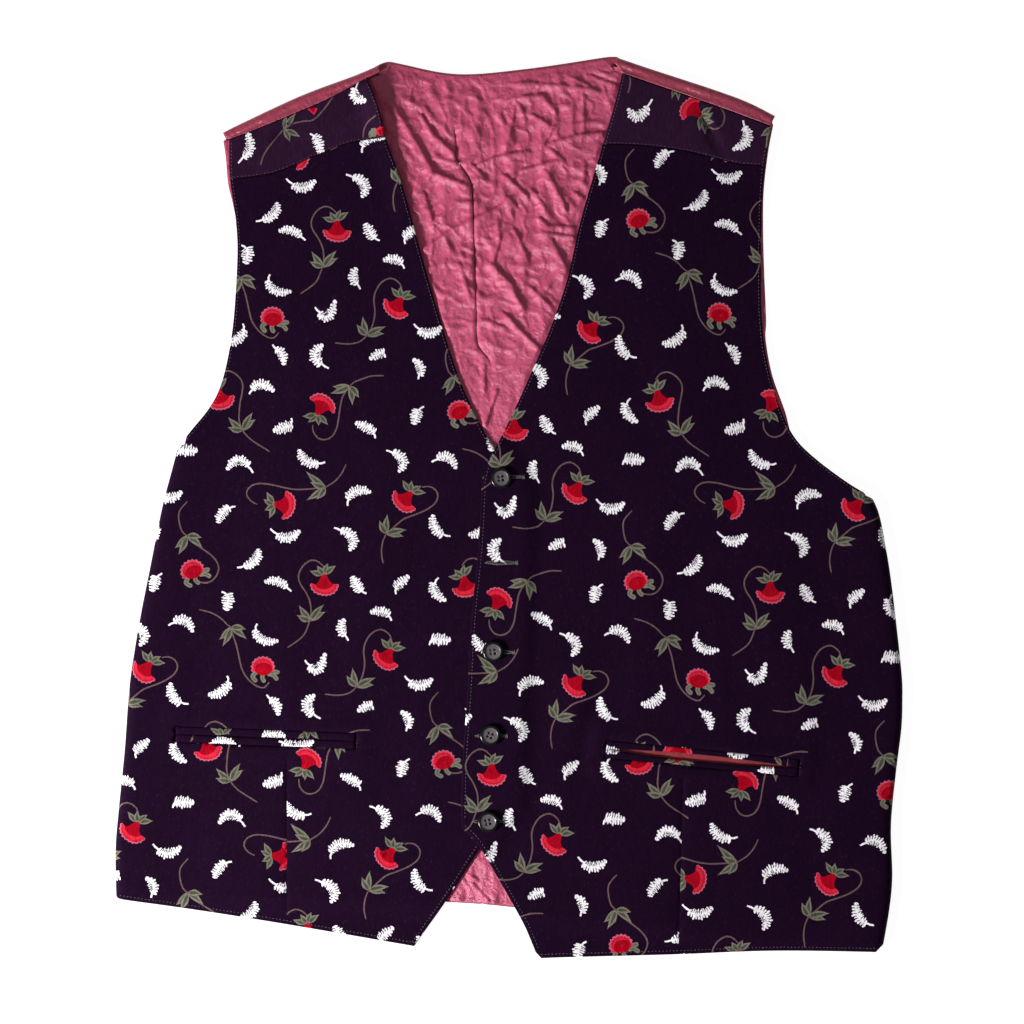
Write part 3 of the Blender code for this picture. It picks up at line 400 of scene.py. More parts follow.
# White sprigs: the end of the stalk, the foot, the middle, the tip and the width
SPRIGS = [
    [(272.1, 527.3), (278.4, 533.6), (290.3, 536.4), (301.6, 528.7), 9.0],
    [(333.8, 529.4), (340.8, 531.5), (352.8, 540.0), (349.3, 552.6), 9.5],
    [(236.3, 565.9), (243.3, 565.2), (255.3, 557.5), (256.7, 547.0), 9.0],
    [(289.9, 591.6), (285.4, 587.7), (274.9, 581.3), (263.0, 582.8), 8.0],
    [(366.5, 592.3), (361.2, 590.5), (356.3, 583.4), (352.1, 575.0), 10.0],
    [(397.0, 593.3), (395.6, 587.0), (401.2, 582.0), (410.3, 575.0), 9.0],
    [(221.7, 593.0), (227.3, 595.1), (228.0, 602.0), (225.9, 611.9), 11.0],
    [(260.0, 623.4), (256.8, 629.5), (265.9, 640.0), (281.4, 640.0), 8.0],
    [(390.5, 620.8), (388.4, 615.4), (380.0, 611.2), (369.2, 612.6), 8.5],
    [(350.1, 638.6), (347.0, 633.0), (342.8, 626.0), (346.3, 616.8), 9.0],
    [(305.5, 656.5), (309.4, 662.4), (319.2, 665.2), (325.6, 649.1), 9.0],
    [(406.6, 675.3), (411.6, 681.4), (422.8, 684.9), (434.7, 677.9), 9.0],
    [(224.8, 676.7), (227.3, 682.8), (218.2, 693.3), (205.6, 695.4), 9.0],
    [(265.6, 697.2), (268.7, 701.7), (275.7, 707.3), (276.4, 717.9), 8.5],
    [(321.1, 717.1), (313.6, 713.6), (307.3, 703.1), (315.7, 693.3), 10.0],
    [(373.7, 710.8), (373.0, 705.9), (366.7, 707.3), (358.0, 712.9), 8.5],
    [(404.3, 730.5), (405.2, 726.3), (406.6, 718.6), (398.9, 710.1), 8.5],
    [(250.6, 395.0), (253.2, 389.8), (263.7, 384.9), (275.6, 392.6), 9.0],
    [(424.3, 408.8), (418.7, 411.6), (416.6, 417.9), (414.5, 427.0), 10.5],
    [(373.8, 437.5), (373.1, 431.9), (364.7, 426.3), (353.5, 422.1), 9.0],
    [(291.3, 420.0), (292.4, 427.0), (283.3, 429.8), (272.8, 433.3), 10.0],
    [(431.5, 644.2), (433.3, 637.2), (442.4, 638.6), (453.0, 638.9), 10.5],
    [(325.8, 460.4), (319.1, 462.8), (305.8, 458.6), (300.2, 447.3), 9.0],
    [(252.4, 473.7), (247.9, 466.7), (236.7, 461.1), (226.1, 470.9), 9.0],
    [(385.7, 452.7), (392.1, 454.4), (402.6, 462.8), (397.7, 474.7), 9.0],
    [(415.8, 816.8), (421.4, 813.3), (432.6, 811.9), (440.3, 823.8), 9.0],
    [(349.7, 505.3), (349.3, 498.6), (359.1, 490.1), (373.1, 492.2), 9.0],
    [(235.5, 507.1), (229.5, 507.8), (221.7, 514.8), (218.2, 523.9), 9.0],
    [(449.6, 536.4), (441.9, 535.7), (433.5, 527.3), (432.0, 514.7), 9.0],
    [(441.7, 578.7), (436.8, 583.9), (438.2, 593.7), (449.4, 602.1), 9.0],
]

# Where motifs really lie, because the cloth was cut and pressed by hand: flowers by letter, sprigs by number.
# The motifs between them follow their neighbours
PLACED = {
    "left": [
        ("A", 337, 229), ("A", 324.3, 582.8), ("B", 272.3, 317.3), ("B", 263.1, 666.6), ("C", 397.5, 305),
        ("C", 387.5, 656), ("D", 321.2, 407.4), ("D", 307.3, 761.7), ("E", 192.3, 569.8), ("E", 459, 411),
        ("E", 443.1, 760.5), ("G", 282.6, 504.9), ("H", 406.1, 498.6), ("H", 146, 669), ("H", 388.4, 855.4),
        ("I", 220, 397), ("I", 207.5, 747.5), ("I", 465, 584), ("C", 134.5, 829), ("E", 193, 926.8),
        ("G", 279.9, 856.1), (0, 304, 184), (1, 359, 187), (2, 270, 212), (3, 290, 233), (4, 370, 231),
        (5, 411, 232), (6, 247, 256), (7, 279, 286), (8, 393, 261), (9, 355, 276), (10, 327, 308),
        (11, 430, 330), (12, 235, 336), (13, 279, 357), (14, 319, 355), (15, 377, 356), (16, 417, 367),
        (17, 263, 388), (18, 416, 417), (19, 365, 428), (20, 283, 428), (21, 188, 450), (22, 309, 457),
        (23, 238, 465), (24, 398, 462), (25, 447, 463), (26, 359, 495), (11, 171, 495), (27, 224, 515),
        (0, 288, 534), (1, 347, 540), (2, 251, 558), (28, 438, 525), (3, 276, 584), (4, 357, 584),
        (5, 402, 582), (18, 155, 584), (6, 227, 602), (29, 440, 592), (9, 343, 627), (8, 380, 613),
        (25, 184, 626), (24, 140, 636), (7, 266, 635), (21, 441, 639), (10, 317, 661), (11, 421, 682),
        (28, 176, 693), (12, 219, 688), (13, 274, 707), (14, 311, 705), (15, 365, 708), (16, 405, 719),
        (18, 402, 769), (19, 350, 780), (24, 381, 818), (25, 431, 816), (26, 342, 848), (1, 328, 892),
        (28, 420, 879),
    ],
    "right": [
        ("A", 770, 590), ("A", 491.5, 772.6), ("A", 776, 223), ("B", 719.3, 313), ("B", 698, 679),
        ("C", 836.5, 673), ("C", 555.3, 841), ("D", 771.9, 403.5), ("D", 744, 783), ("D", 497.9, 602.1),
        ("E", 638, 219.6), ("E", 636, 581), ("E", 621, 945), ("E", 888, 791), ("G", 731, 504),
        ("G", 693, 879), ("H", 591.2, 329.6), ("H", 576, 683), ("H", 829, 881), ("I", 658.2, 397.9),
        ("I", 638, 760), ("C", 576, 490), ("A", 514, 428.5), (12, 673, 336.8), (28, 623.9, 346),
        (13, 731.9, 355.8), (17, 717.7, 384.5), (29, 631.6, 413.3), (20, 734.7, 428.7), (21, 634.4, 458.9),
        (23, 687.7, 466.6), (22, 760, 457.5), (7, 724.9, 285.6), (19, 540.6, 619.6), (26, 531.5, 685.6),
        (1, 516.8, 730.5), (4, 525.9, 774.7), (9, 509.8, 816.8), (10, 487.3, 849.1), (8, 550.5, 801.4),
        (15, 535.7, 895.4), (27, 662, 160), (0, 729, 175), (2, 697, 199), (3, 726, 227), (4, 546, 424.2),
        (5, 592.2, 413), (8, 571.9, 448), (9, 534, 469.8), (10, 506.7, 504.2), (11, 612.6, 505.6),
        (27, 672.9, 521.7), (15, 556.5, 546.3), (16, 597.2, 547.7), (14, 496.8, 549.8), (18, 595, 594.7),
        (2, 690.5, 563.8), (0, 734.7, 537.5), (1, 797.8, 545.9), (26, 809, 498.2), (3, 717.9, 591.5),
        (6, 668.8, 610.5), (4, 806.3, 592.2), (9, 788, 638.6), (25, 619.6, 636.4), (7, 706.6, 643.5),
        (10, 757.1, 670.1), (12, 652, 697), (13, 705.9, 721), (14, 745.9, 719), (15, 809, 725.3),
        (29, 611.9, 772), (20, 695, 800.3), (19, 786.8, 803), (21, 615.2, 818.3), (23, 667.3, 835.4),
        (22, 720.7, 831.2), (24, 821.2, 841), (11, 594.5, 863.3), (27, 656, 888.5), (26, 775.6, 873),
        (0, 700.3, 910.5), (1, 760, 919), (5, 856.8, 595.8), (8, 832.3, 626.6), (11, 875, 702.4),
        (16, 853.3, 741), (18, 844.2, 793.8), (25, 875.4, 846.7), (28, 860.8, 913), (5, 571, 767.7),
        (16, 579.3, 903.5), (28, 605, 708), (18, 578.7, 952.6), (14, 778, 351),
    ],
}
PLACING_REACH = 12.0

# The part of the chart that the fronts cover, in x and in y
PRINTED = ((90, 940), (110, 1010))

# Loose bits of the print on the yokes and the pocket lips
YOKE_BITS = {
    "left": {
        "stems": [[(333.2, 97.5), (324.1, 110.1), (313.7, 120.4), (304.5, 121.6), (294.2, 123.9),
                   (285, 129.6)],
                  [(285, 129.6), (281.6, 131.9), (270.1, 145.7), (263.6, 156), (260.9, 165.2)],
                  [(376.9, 117), (368.8, 122.7), (364.2, 130.8), (363.7, 138.2)]],
        "leaves": [[(285, 129.6), (286.7, 115.6), 5.4], [(287, 127.6), (296.2, 113.6), 5.4],
                   [(286, 130.6), (300.5, 137.4), 5.6], [(285, 130.6), (289.8, 142.4), 5.4],
                   [(370, 138), (376.6, 129), 6.0]],
        "sprigs": [[(238.5, 163.5), (243.7, 157.6), (250.6, 147.2), (246.5, 131.5), 8.6],
                   [(310.3, 134.2), (314.3, 136.0), (318.8, 143.4), (320.5, 156.5), 9.4],
                   [(358.5, 83.2), (356.0, 89.4), (356.4, 98.5), (367.5, 101.9), 9.6]],
        "bells": [],
        "patches": [["coral", [(307.5, 109.5), (317.6, 108.6), (316.6, 112), (314.4, 115.6), (311.5, 113)]],
                    ["red", [(309.5, 109), (315.8, 108.6), (313.9, 113.4)]],
                    ["leaf", [(369.3, 133.4), (372, 129.4), (376.5, 128.8), (378, 133), (376.5, 137.5),
                     (371.4, 137.5)]],
                    ["coral", [(376.8, 130.4), (380.5, 127.8), (385, 128.4), (386, 137), (379.5, 137.4),
                     (376.6, 134)]],
                    ["red", [(378.4, 131.4), (381.6, 129.6), (385.5, 130), (386, 135.6), (380, 135.8)]]],
    },
    "right": {
        "stems": [[(629.5, 74), (630.1, 84.5), (627.7, 93.6)],
                  [(706.5, 124), (710, 127), (714.4, 129.4), (718.6, 128.7), (722.6, 124.4),
                   (724.3, 118.1), (722.8, 112), (718, 105.5)]],
        "leaves": [[(674.5, 86), (671.3, 99.4), 4.4], [(676.5, 86), (678.1, 101.6), 5.0],
                   [(703.5, 121.5), (713.2, 113), 5.6], [(703.8, 122), (714.4, 122.6), 5.0],
                   [(703.2, 122.4), (708.9, 130), 5.0], [(702.4, 122.4), (704.8, 134.4), 5.2],
                   [(771.5, 127.8), (759.8, 136.8), 6.4], [(770.5, 131), (765.2, 148.8), 6.0]],
        "sprigs": [[(652.0, 99.7), (647.9, 107.3), (637, 117.2), (628, 108.5), 9.6],
                   [(742.8, 120.8), (744.0, 127.3), (746.4, 141.0), (732.0, 149.5), 9.4]],
        "bells": [[(693.8, 111.0), 229]],
        "patches": [],
    },
}
LIP_BITS = {
    "left": {
        "stems": [[(191, 741), (194, 735)], [(303, 738), (305, 732)], [(229, 734), (228, 727)]],
        "leaves": [[(222.5, 733.5), (210, 727.4), 5.0], [(223, 733.8), (218.5, 726.5), 4.4],
                   [(223, 733.5), (233.5, 727.8), 5.0], [(306, 732), (298, 737.6), 4.4],
                   [(308, 731), (307, 739), 4.2], [(310, 731), (318.5, 738.4), 5.0]],
        "sprigs": [[(261, 737.6), (263, 736.4), (274, 733.0), (285.5, 736.6), 7.6],
                   [(209, 743.4), (213, 742.6), (224, 740.6), (236.5, 744.4), 7.2],
                   [(279, 741), (283, 742), (298, 746.6), (314, 740.6), 9.6]],
        "bells": [],
        "patches": [],
    },
    "right": {
        "stems": [[(654, 742), (654, 751)], [(681.4, 760), (681.6, 769)], [(787.6, 758.5), (787, 766.5)]],
        "leaves": [[(774, 752), (756.5, 751.4), 6.4], [(774, 752), (782.6, 757), 6.0],
                   [(775, 757), (781.5, 765.6), 5.0], [(677, 757), (664, 761.8), 5.0],
                   [(684, 759), (694, 764.2), 4.6], [(774, 775), (778.5, 778), 3.0]],
        "sprigs": [[(600, 746), (603, 748), (611, 750), (620, 750.4), 7.0],
                   [(725, 748), (728, 750), (737, 753), (748, 754.5), 9.6],
                   [(757, 770), (760, 770.4), (767, 770.4), (774, 770), 11.0]],
        "bells": [[(677.5, 754), 178]],
        "patches": [],
    },
}


# Curves and outlines


def smooth(points, step=COARSE):
    """Points about step apart on a Catmull-Rom curve through the given points."""
    p = np.array([points[0], *points, points[-1]], float)
    made = []
    for a, b, c, d in zip(p, p[1:], p[2:], p[3:]):
        count = max(1, round(np.linalg.norm(c - b) / step))
        for t in np.arange(count) / count:
            made.append(0.5 * (2 * b + (c - a) * t + (2 * a - 5 * b + 4 * c - d) * t**2
                               + (3 * b - a - 3 * c + d) * t**3))
    return np.array([*made, p[-1]])


def travelled(curve):
    """The distance along a curve at each of its points."""
    return np.concatenate([[0], np.cumsum(np.linalg.norm(np.diff(curve, axis=0), axis=1))])


def resampled(curve, count):
    """The same curve, as a number of points that are evenly apart."""
    distance = travelled(curve)
    share = np.linspace(0, distance[-1], count)
    return np.stack([np.interp(share, distance, curve[:, k]) for k in range(curve.shape[1])], axis=1)


def straight(start, end, step):
    """Points about step apart on a straight line."""
    start, end = np.array(start, float), np.array(end, float)
    count = max(2, math.ceil(np.linalg.norm(end - start) / step) + 1)
    return start + np.linspace(0, 1, count)[:, None] * (end - start)


def outward_normals(curve):
    """Unit normals on the right of a curve's direction of travel."""
    along = np.gradient(curve, axis=0)
    along /= np.linalg.norm(along, axis=1)[:, None]
    return np.stack([along[:, 1], -along[:, 0]], axis=1)


def shifted(curve, distance):
    """The curve moved to the left of its direction of travel."""
    return curve - outward_normals(curve) * np.reshape(distance, (-1, 1))


def chain(*curves):
    """One closed outline from curves that follow each other, without doubled points."""
    points = [p for curve in curves for p in np.asarray(curve, float)]
    kept = [points[0]]
    for p in points[1:]:
        if np.linalg.norm(p - kept[-1]) > DOUBLED:
            kept.append(p)
    if np.linalg.norm(kept[0] - kept[-1]) <= DOUBLED:
        kept.pop()
    return np.array(kept)


def denser(line, step):
    """The same line with no two neighbouring points further apart than a step."""
    made = [line[:1]]
    for start, end in zip(line[:-1], line[1:]):
        count = max(1, math.ceil(np.linalg.norm(end - start) / step))
        made.append(start + np.arange(1, count + 1)[:, None] / count * (end - start))
    return np.concatenate(made)


def to_line(points, line):
    """For each point: its distance to a line, the line's nearest point, and the side that it lies on."""
    line = denser(np.asarray(line, float), 3.0)
    tree = kdtree.KDTree(len(line))
    for index, (x, y) in enumerate(line):
        tree.insert((x, y, 0), index)
    tree.balance()
    near = np.array([tree.find((x, y, 0))[1] for x, y in points], int)
    count = len(line) - 1
    if np.linalg.norm(line[0] - line[-1]) < 1e-6:
        pieces = ((near - 1) % count, near % count)
    else:
        pieces = (np.maximum(near - 1, 0), np.minimum(near, count - 1))
    nearest = np.full(len(points), np.inf)
    foot = np.zeros((len(points), 2))
    side = np.zeros(len(points))
    for piece in pieces:
        start, d = line[piece], line[piece + 1] - line[piece]
        offset = points - start
        t = np.clip(np.sum(offset * d, axis=1) / np.maximum(np.sum(d * d, axis=1), 1e-9), 0, 1)
        at = start + t[:, None] * d
        away = np.linalg.norm(points - at, axis=1)
        closer = away < nearest
        nearest = np.where(closer, away, nearest)
        foot[closer] = at[closer]
        side = np.where(closer, np.sign(d[:, 0] * offset[:, 1] - d[:, 1] * offset[:, 0]), side)
    return nearest, foot, side


def distance_to(points, line):
    return to_line(points, line)[0]


def inside(points, outline):
    """Whether each point lies inside a closed outline."""
    x, y = points[:, 0], points[:, 1]
    odd = np.zeros(len(points), bool)
    for (x0, y0), (x1, y1) in zip(outline, np.roll(outline, -1, axis=0)):
        if y0 != y1:
            odd ^= ((y0 > y) != (y1 > y)) & (x < (x1 - x0) * (y - y0) / (y1 - y0) + x0)
    return odd


def outside_distance(points, outline):
    """Distance outside a closed outline, negative inside it."""
    d = distance_to(points, np.concatenate([outline, outline[:1]]))
    return np.where(inside(points, outline), -d, d)


def ease(t):
    """From 0 to 1, flat at both ends."""
    t = np.clip(t, 0, 1)
    return t * t * (3 - 2 * t)


def from_chart(points):
    """Millimetres of points in chart squares."""
    p = np.asarray(points, float)
    return np.stack([(p[..., 0] - CHART_ORIGIN[0]) * SQUARE, (CHART_ORIGIN[1] - p[..., 1]) * SQUARE], axis=-1)


# Outlines of the pieces, counter-clockwise


def edge(side, name, step=COARSE):
    """An edge of a front as a smooth curve."""
    return smooth(EDGES[side][name], step)


def side_start(side, step=COARSE):
    """The line where a front starts to roll down at the side."""
    return shifted(edge(side, "side", step), INWARD[side] * (SIDE_ROLL + FRONT_WALL / 2))


def side_end(side, step):
    """The lower edge of a front at its side seam, as if the roll were opened out flat."""
    return shifted(side_start(side, step), -INWARD[side] * SIDE_ROLL_LENGTH)


def shoulder_seam(side, count):
    return resampled(edge(side, "shoulder seam", SHOULDER_STEP), count)


def shoulder_fold(side, count):
    return resampled(edge(side, "shoulder fold", SHOULDER_STEP), count)


def shoulder_start(side, count):
    """The line where the back starts to roll up at the shoulder."""
    return shifted(shoulder_fold(side, count), -SHOULDER_ROLL - BACK_WALL / 2)


def left_front_outline(side_line, step):
    names = ("hem", "cutaway", "front edge", "neckline", "armhole")
    hem, cutaway, front_edge, neckline, armhole = [edge("left", name, step)[::-1] for name in names]
    return chain(hem[1:], cutaway, front_edge, neckline, shoulder_seam("left", SHOULDER_POINTS)[::-1],
                 armhole[:-1], side_line[::-1])


def right_front_outline(side_line, step):
    names = ("cutaway", "hem", "armhole", "neckline", "front edge")
    cutaway, hem, armhole, neckline, front_edge = [edge("right", name, step) for name in names]
    return chain(cutaway, hem[:-1], side_line, armhole[1:], shoulder_seam("right", SHOULDER_POINTS)[::-1],
                 neckline, front_edge)


def front_outline(side, side_line, step):
    return (left_front_outline if side == "left" else right_front_outline)(side_line, step)


def back_outline(side_inset, shoulder_lines, neck_inset, hem_inset, step):
    """The back, with its sides and shoulders drawn in by what the roll of the cloth takes."""
    sides = {}
    for side in SIDES:
        line = shifted(edge(side, "side", step), INWARD[side] * side_inset)
        low, high = BACK_SIDE_SPAN[side]
        sides[side] = line[(line[:, 1] > low) & (line[:, 1] < high)]
    edge_inset = min(neck_inset, 1.0)
    return chain(
        smooth(BACK_HEM, step) + [0, hem_inset],
        sides["right"],
        shifted(smooth(BACK_RIGHT_ARMHOLE, step), edge_inset)[1:-1],
        shoulder_lines["right"][::-1],
        shifted(smooth(BACK_NECK, step), -neck_inset)[::-1],
        shoulder_lines["left"][::-1],
        shifted(smooth(BACK_LEFT_ARMHOLE, step), edge_inset)[1:-1],
        sides["left"][::-1],
    )


LEFT_FRONT, RIGHT_FRONT = [front_outline(side, side_start(side), COARSE) for side in SIDES]
COARSE_STARTS = {side: shoulder_start(side, COARSE_POINTS) for side in SIDES}
BACK = back_outline(BACK_SIDE_INSET, COARSE_STARTS, 0, 0, COARSE)


# Heights of the middle of each wall


def fold_height(points, folds):
    """Soft ridges and troughs."""
    height = np.zeros(len(points))
    for fold in folds:
        turn = math.radians(fold["turn"])
        offset = points - [fold["x"], fold["y"]]
        along = offset @ [math.cos(turn), math.sin(turn)]
        across = offset @ [-math.sin(turn), math.cos(turn)]
        height += fold["rise"] * np.exp(-((along / fold["length"]) ** 2) - (across / fold["width"]) ** 2)
    return height


def dart_dip(points, depth, width):
    """The pressed-in line of each dart."""
    away = [distance_to(points, dart) for dart in DARTS.values()]
    return sum(depth * np.exp(-((d / width) ** 2)) for d in away)


def pocket_frame(points, pocket):
    """Coordinates along and across a pocket's slit."""
    tilt = math.radians(pocket["tilt"])
    offset = points - [pocket["x"], pocket["y"]]
    return offset @ [math.cos(tilt), math.sin(tilt)], offset @ [-math.sin(tilt), math.cos(tilt)]


def outside_pocket(points, pocket, margin):
    """The distance outside a pocket's window, grown by a margin."""
    along, across = pocket_frame(points, pocket)
    return np.hypot(np.maximum(abs(along) - (pocket["length"] / 2 + margin), 0),
                    np.maximum(abs(across) - (pocket["height"] / 2 + margin), 0))


def pocket_height(points):
    """The rise of the front over each pocket."""
    height = np.zeros(len(points))
    for pocket in POCKETS:
        away = outside_pocket(points, pocket, POCKET_LINING_MARGIN + 2)
        height = np.maximum(height, POCKET_RISE * (1 - ease(away / POCKET_FEATHER)))
    return height


def grain(points, size, seed, stretch=(1, 1)):
    """Smooth noise from about -1 to 1, with lumps of the given size."""
    scaled = points * [stretch[0] / size, stretch[1] / size]
    return np.array([noise.noise((x, y, seed)) for x, y in scaled])


def front_height(points):
    """The middle of a front's wall where it lies on the back."""
    puff = np.zeros(len(points))
    for side in SIDES:
        away = distance_to(points, edge(side, "side"))
        puff = np.maximum(puff, SIDE_PUFF * (1 - ease(away / SIDE_PUFF_REACH)))
    seams = {side: distance_to(points, shoulder_seam(side, COARSE_POINTS)) for side in SIDES}
    for away in seams.values():
        puff = np.maximum(puff, SHOULDER_PUFF * (1 - ease(away / SHOULDER_PUFF_REACH)))
    from_neck = np.linalg.norm(points - EDGES["left"]["neckline"][1], axis=1)
    neck = NECK_PUFF * (1 - ease(from_neck / NECK_PUFF_REACH)) * ease(seams["left"] / NECK_PUFF_START)
    pressed = fold_height(points, FOLDS) - dart_dip(points, DART_DEPTH, DART_WIDTH)
    pressed *= ease(np.minimum(*seams.values()) / 12)
    lying = FRONT_MID + np.maximum(FRONT_SLACK + puff + neck + pressed, pocket_height(points))
    seated = ease(outside_distance(points, BACK) / 14 - 0.1)
    return lying * (1 - seated) + (FRONT_WALL / 2) * seated


def lap_height(points):
    """The right front climbs over the left one where they overlap."""
    return LAP_RISE * (1 - ease((outside_distance(points, LEFT_FRONT) - 2.5) / 12))


def fine_relief(points):
    """Small waves of the cloth, still at the buttons and the pocket lips."""
    waves = fold_height(points, DRAGS)
    for rise, *lumps in RIPPLES:
        waves += rise * grain(points, *lumps)
    for button in BUTTONS:
        away = np.linalg.norm(points - [button["x"], button["y"]], axis=1)
        waves *= ease((away - STILL_ROUND_BUTTON) / 10)
    for pocket in POCKETS:
        waves *= ease(outside_pocket(points, pocket, 0) / 8)
    return waves - dart_dip(points, DART_SEAM, DART_SEAM_WIDTH)


def neck_lift(points):
    """The neck edge of the left front, which stands up from the lining below the shoulder."""
    away = distance_to(points, edge("left", "neckline", 4))
    from_shoulder = distance_to(points, shoulder_seam("left", COARSE_POINTS))
    lift = np.interp(points[:, 1], *np.array(NECK_LIFT).T)
    return lift * (1 - ease(away / NECK_LIFT_REACH)) * ease(from_shoulder / 7)


def left_height(points):
    return np.maximum(front_height(points) + fine_relief(points) + neck_lift(points), FRONT_WALL / 2)


def right_height(points):
    return np.maximum(front_height(points) + lap_height(points) + fine_relief(points), FRONT_WALL / 2)


HEIGHTS = {"left": left_height, "right": right_height}


def open_lining(points):
    """How far a point of the lining is from the edges that cover it."""
    return np.minimum(outside_distance(points, LEFT_FRONT), outside_distance(points, RIGHT_FRONT))


def ridges(points, size, seed, stretch):
    """Sharp creases between smooth hollows, from 0 to 1."""
    return np.clip(1 - 4.5 * abs(grain(points, size, seed, stretch)), 0, 1)


def crumple(points):
    """Creases of the lining, each steep on the side away from the light, and finer crinkle between them."""
    height = np.zeros(len(points))
    for crease in CREASES:
        line = from_chart(crease["line"])
        low, high = line.min(axis=0) - 4 * crease["width"], line.max(axis=0) + 4 * crease["width"]
        near = np.flatnonzero(((points > low) & (points < high)).all(axis=1))
        if len(near) == 0:
            continue
        away, _, side = to_line(points[near], line)
        heading = line[-1] - line[0]
        steep = 1 if -heading[1] * 0.8 + heading[0] * 0.6 > 0 else -1
        width = np.where(side * steep > 0, STEEP_WIDTH, GENTLE_WIDTH) * crease["width"]
        height[near] += CREASE_GAIN * crease["rise"] * np.exp(-((away / width) ** CREASE_STEEPNESS))
    upper = ease((points[:, 1] - 70) / 90)
    crinkle = np.zeros(len(points))
    for noise_of, layers in ((ridges, CRINKLE_RIDGES), (grain, CRINKLE_LUMPS)):
        for rise, *lumps in layers:
            crinkle += rise * noise_of(points, *lumps)
    height += crinkle * (0.3 + 0.7 * upper) + 0.8 * (1 - upper) * grain(points, 6, 2.2, (1, 0.12))
    return MOST_CRUMPLE * np.tanh(height / MOST_CRUMPLE)


def seam_openness(points):
    """Where the seam of the lining stands open, from 0 to 1."""
    return ease((points[:, 1] - SEAM_OPEN[0]) / 12) * ease((SEAM_OPEN[1] - points[:, 1]) / 12)


def free_lining(points):
    """Where the lining lies open and free to move, from 0 to 1."""
    return ease((open_lining(points) + 0.5) / 3.5)


def lining_height(points):
    away = distance_to(points, smooth(LINING_SEAM, 4))
    groove = GROOVE * np.exp(-((away / GROOVE_WIDTH) ** 2)) * seam_openness(points)
    from_neck = distance_to(points, smooth(BACK_NECK))
    loose = free_lining(points) * ease((from_neck - 2.5) / 7)
    return LINING_MID + crumple(points) * loose - groove


def pleated_height(points):
    """The left half of the lining, lifted where it laps over its other half."""
    away = distance_to(points, smooth(LINING_SEAM, 4))
    lifted = PLEAT_RISE * (1 - ease(away / PLEAT_REACH)) * seam_openness(points)
    return lining_height(points) + lifted * free_lining(points)


def rolled(points, height, side):
    """Points of a front in space, with what lies beyond the start of its roll bent down round the side."""
    away, foot, on_left = to_line(points, side_start(side, FINE))
    beyond = (on_left * INWARD[side] < 0) & (away < SIDE_ROLL_LENGTH + 1)
    made = np.column_stack([points, height(points)])
    if beyond.any():
        angle = np.minimum(away[beyond] / SIDE_ROLL_LENGTH, 1) * math.pi / 2
        outward = (points[beyond] - foot[beyond]) / np.maximum(away[beyond], 1e-6)[:, None]
        made[beyond, :2] = foot[beyond] + outward * (SIDE_ROLL * np.sin(angle))[:, None]
        made[beyond, 2] = ROLL_END + (height(foot[beyond]) - ROLL_END) * np.cos(angle)
    return made


# The print


def turned(local, at, turn):
    """Local points, y up, turned counter-clockwise in degrees and placed on the chart."""
    t = math.radians(turn)
    p = np.asarray(local, float)
    x = p[:, 0] * math.cos(t) - p[:, 1] * math.sin(t)
    y = p[:, 0] * math.sin(t) + p[:, 1] * math.cos(t)
    return np.stack([at[0] + x, at[1] - y], axis=1)


def ribbon(curve, width, taper=0.3):
    """A closed band along a curve, narrower at both ends."""
    share = np.linspace(0, 1, len(curve))
    half = width / 2 * (taper + (1 - taper) * np.minimum(1, np.minimum(share, 1 - share) * 8))
    normal = outward_normals(curve)
    return np.concatenate([curve + normal * half[:, None], (curve - normal * half[:, None])[::-1]])


def leaf_shapes(foot, tip, width):
    """A pointed leaf with a darker middle."""
    foot, tip = np.array(foot, float), np.array(tip, float)
    along = tip - foot
    across = np.array([along[1], -along[0]]) / np.linalg.norm(along)
    share = np.array([0, 0.12, 0.28, 0.45, 0.62, 0.78, 0.9, 1.0])
    half = width / 2 * np.array([0.22, 0.6, 0.92, 1.0, 0.8, 0.42, 0.16, 0.0])
    bow = 0.12 * width * np.sin(share * math.pi)
    middle = foot + share[:, None] * along + across * bow[:, None]
    rim = np.concatenate([middle + across * half[:, None], (middle - across * half[:, None])[-2::-1]])
    dark = half[1:6] * np.array([0.5, 0.5, 0.4, 0.26, 0.1])
    core = middle[1:6]
    heart = np.concatenate([core + across * dark[:, None], (core - across * dark[:, None])[::-1]])
    return [("leaf", rim), ("vein", heart)]


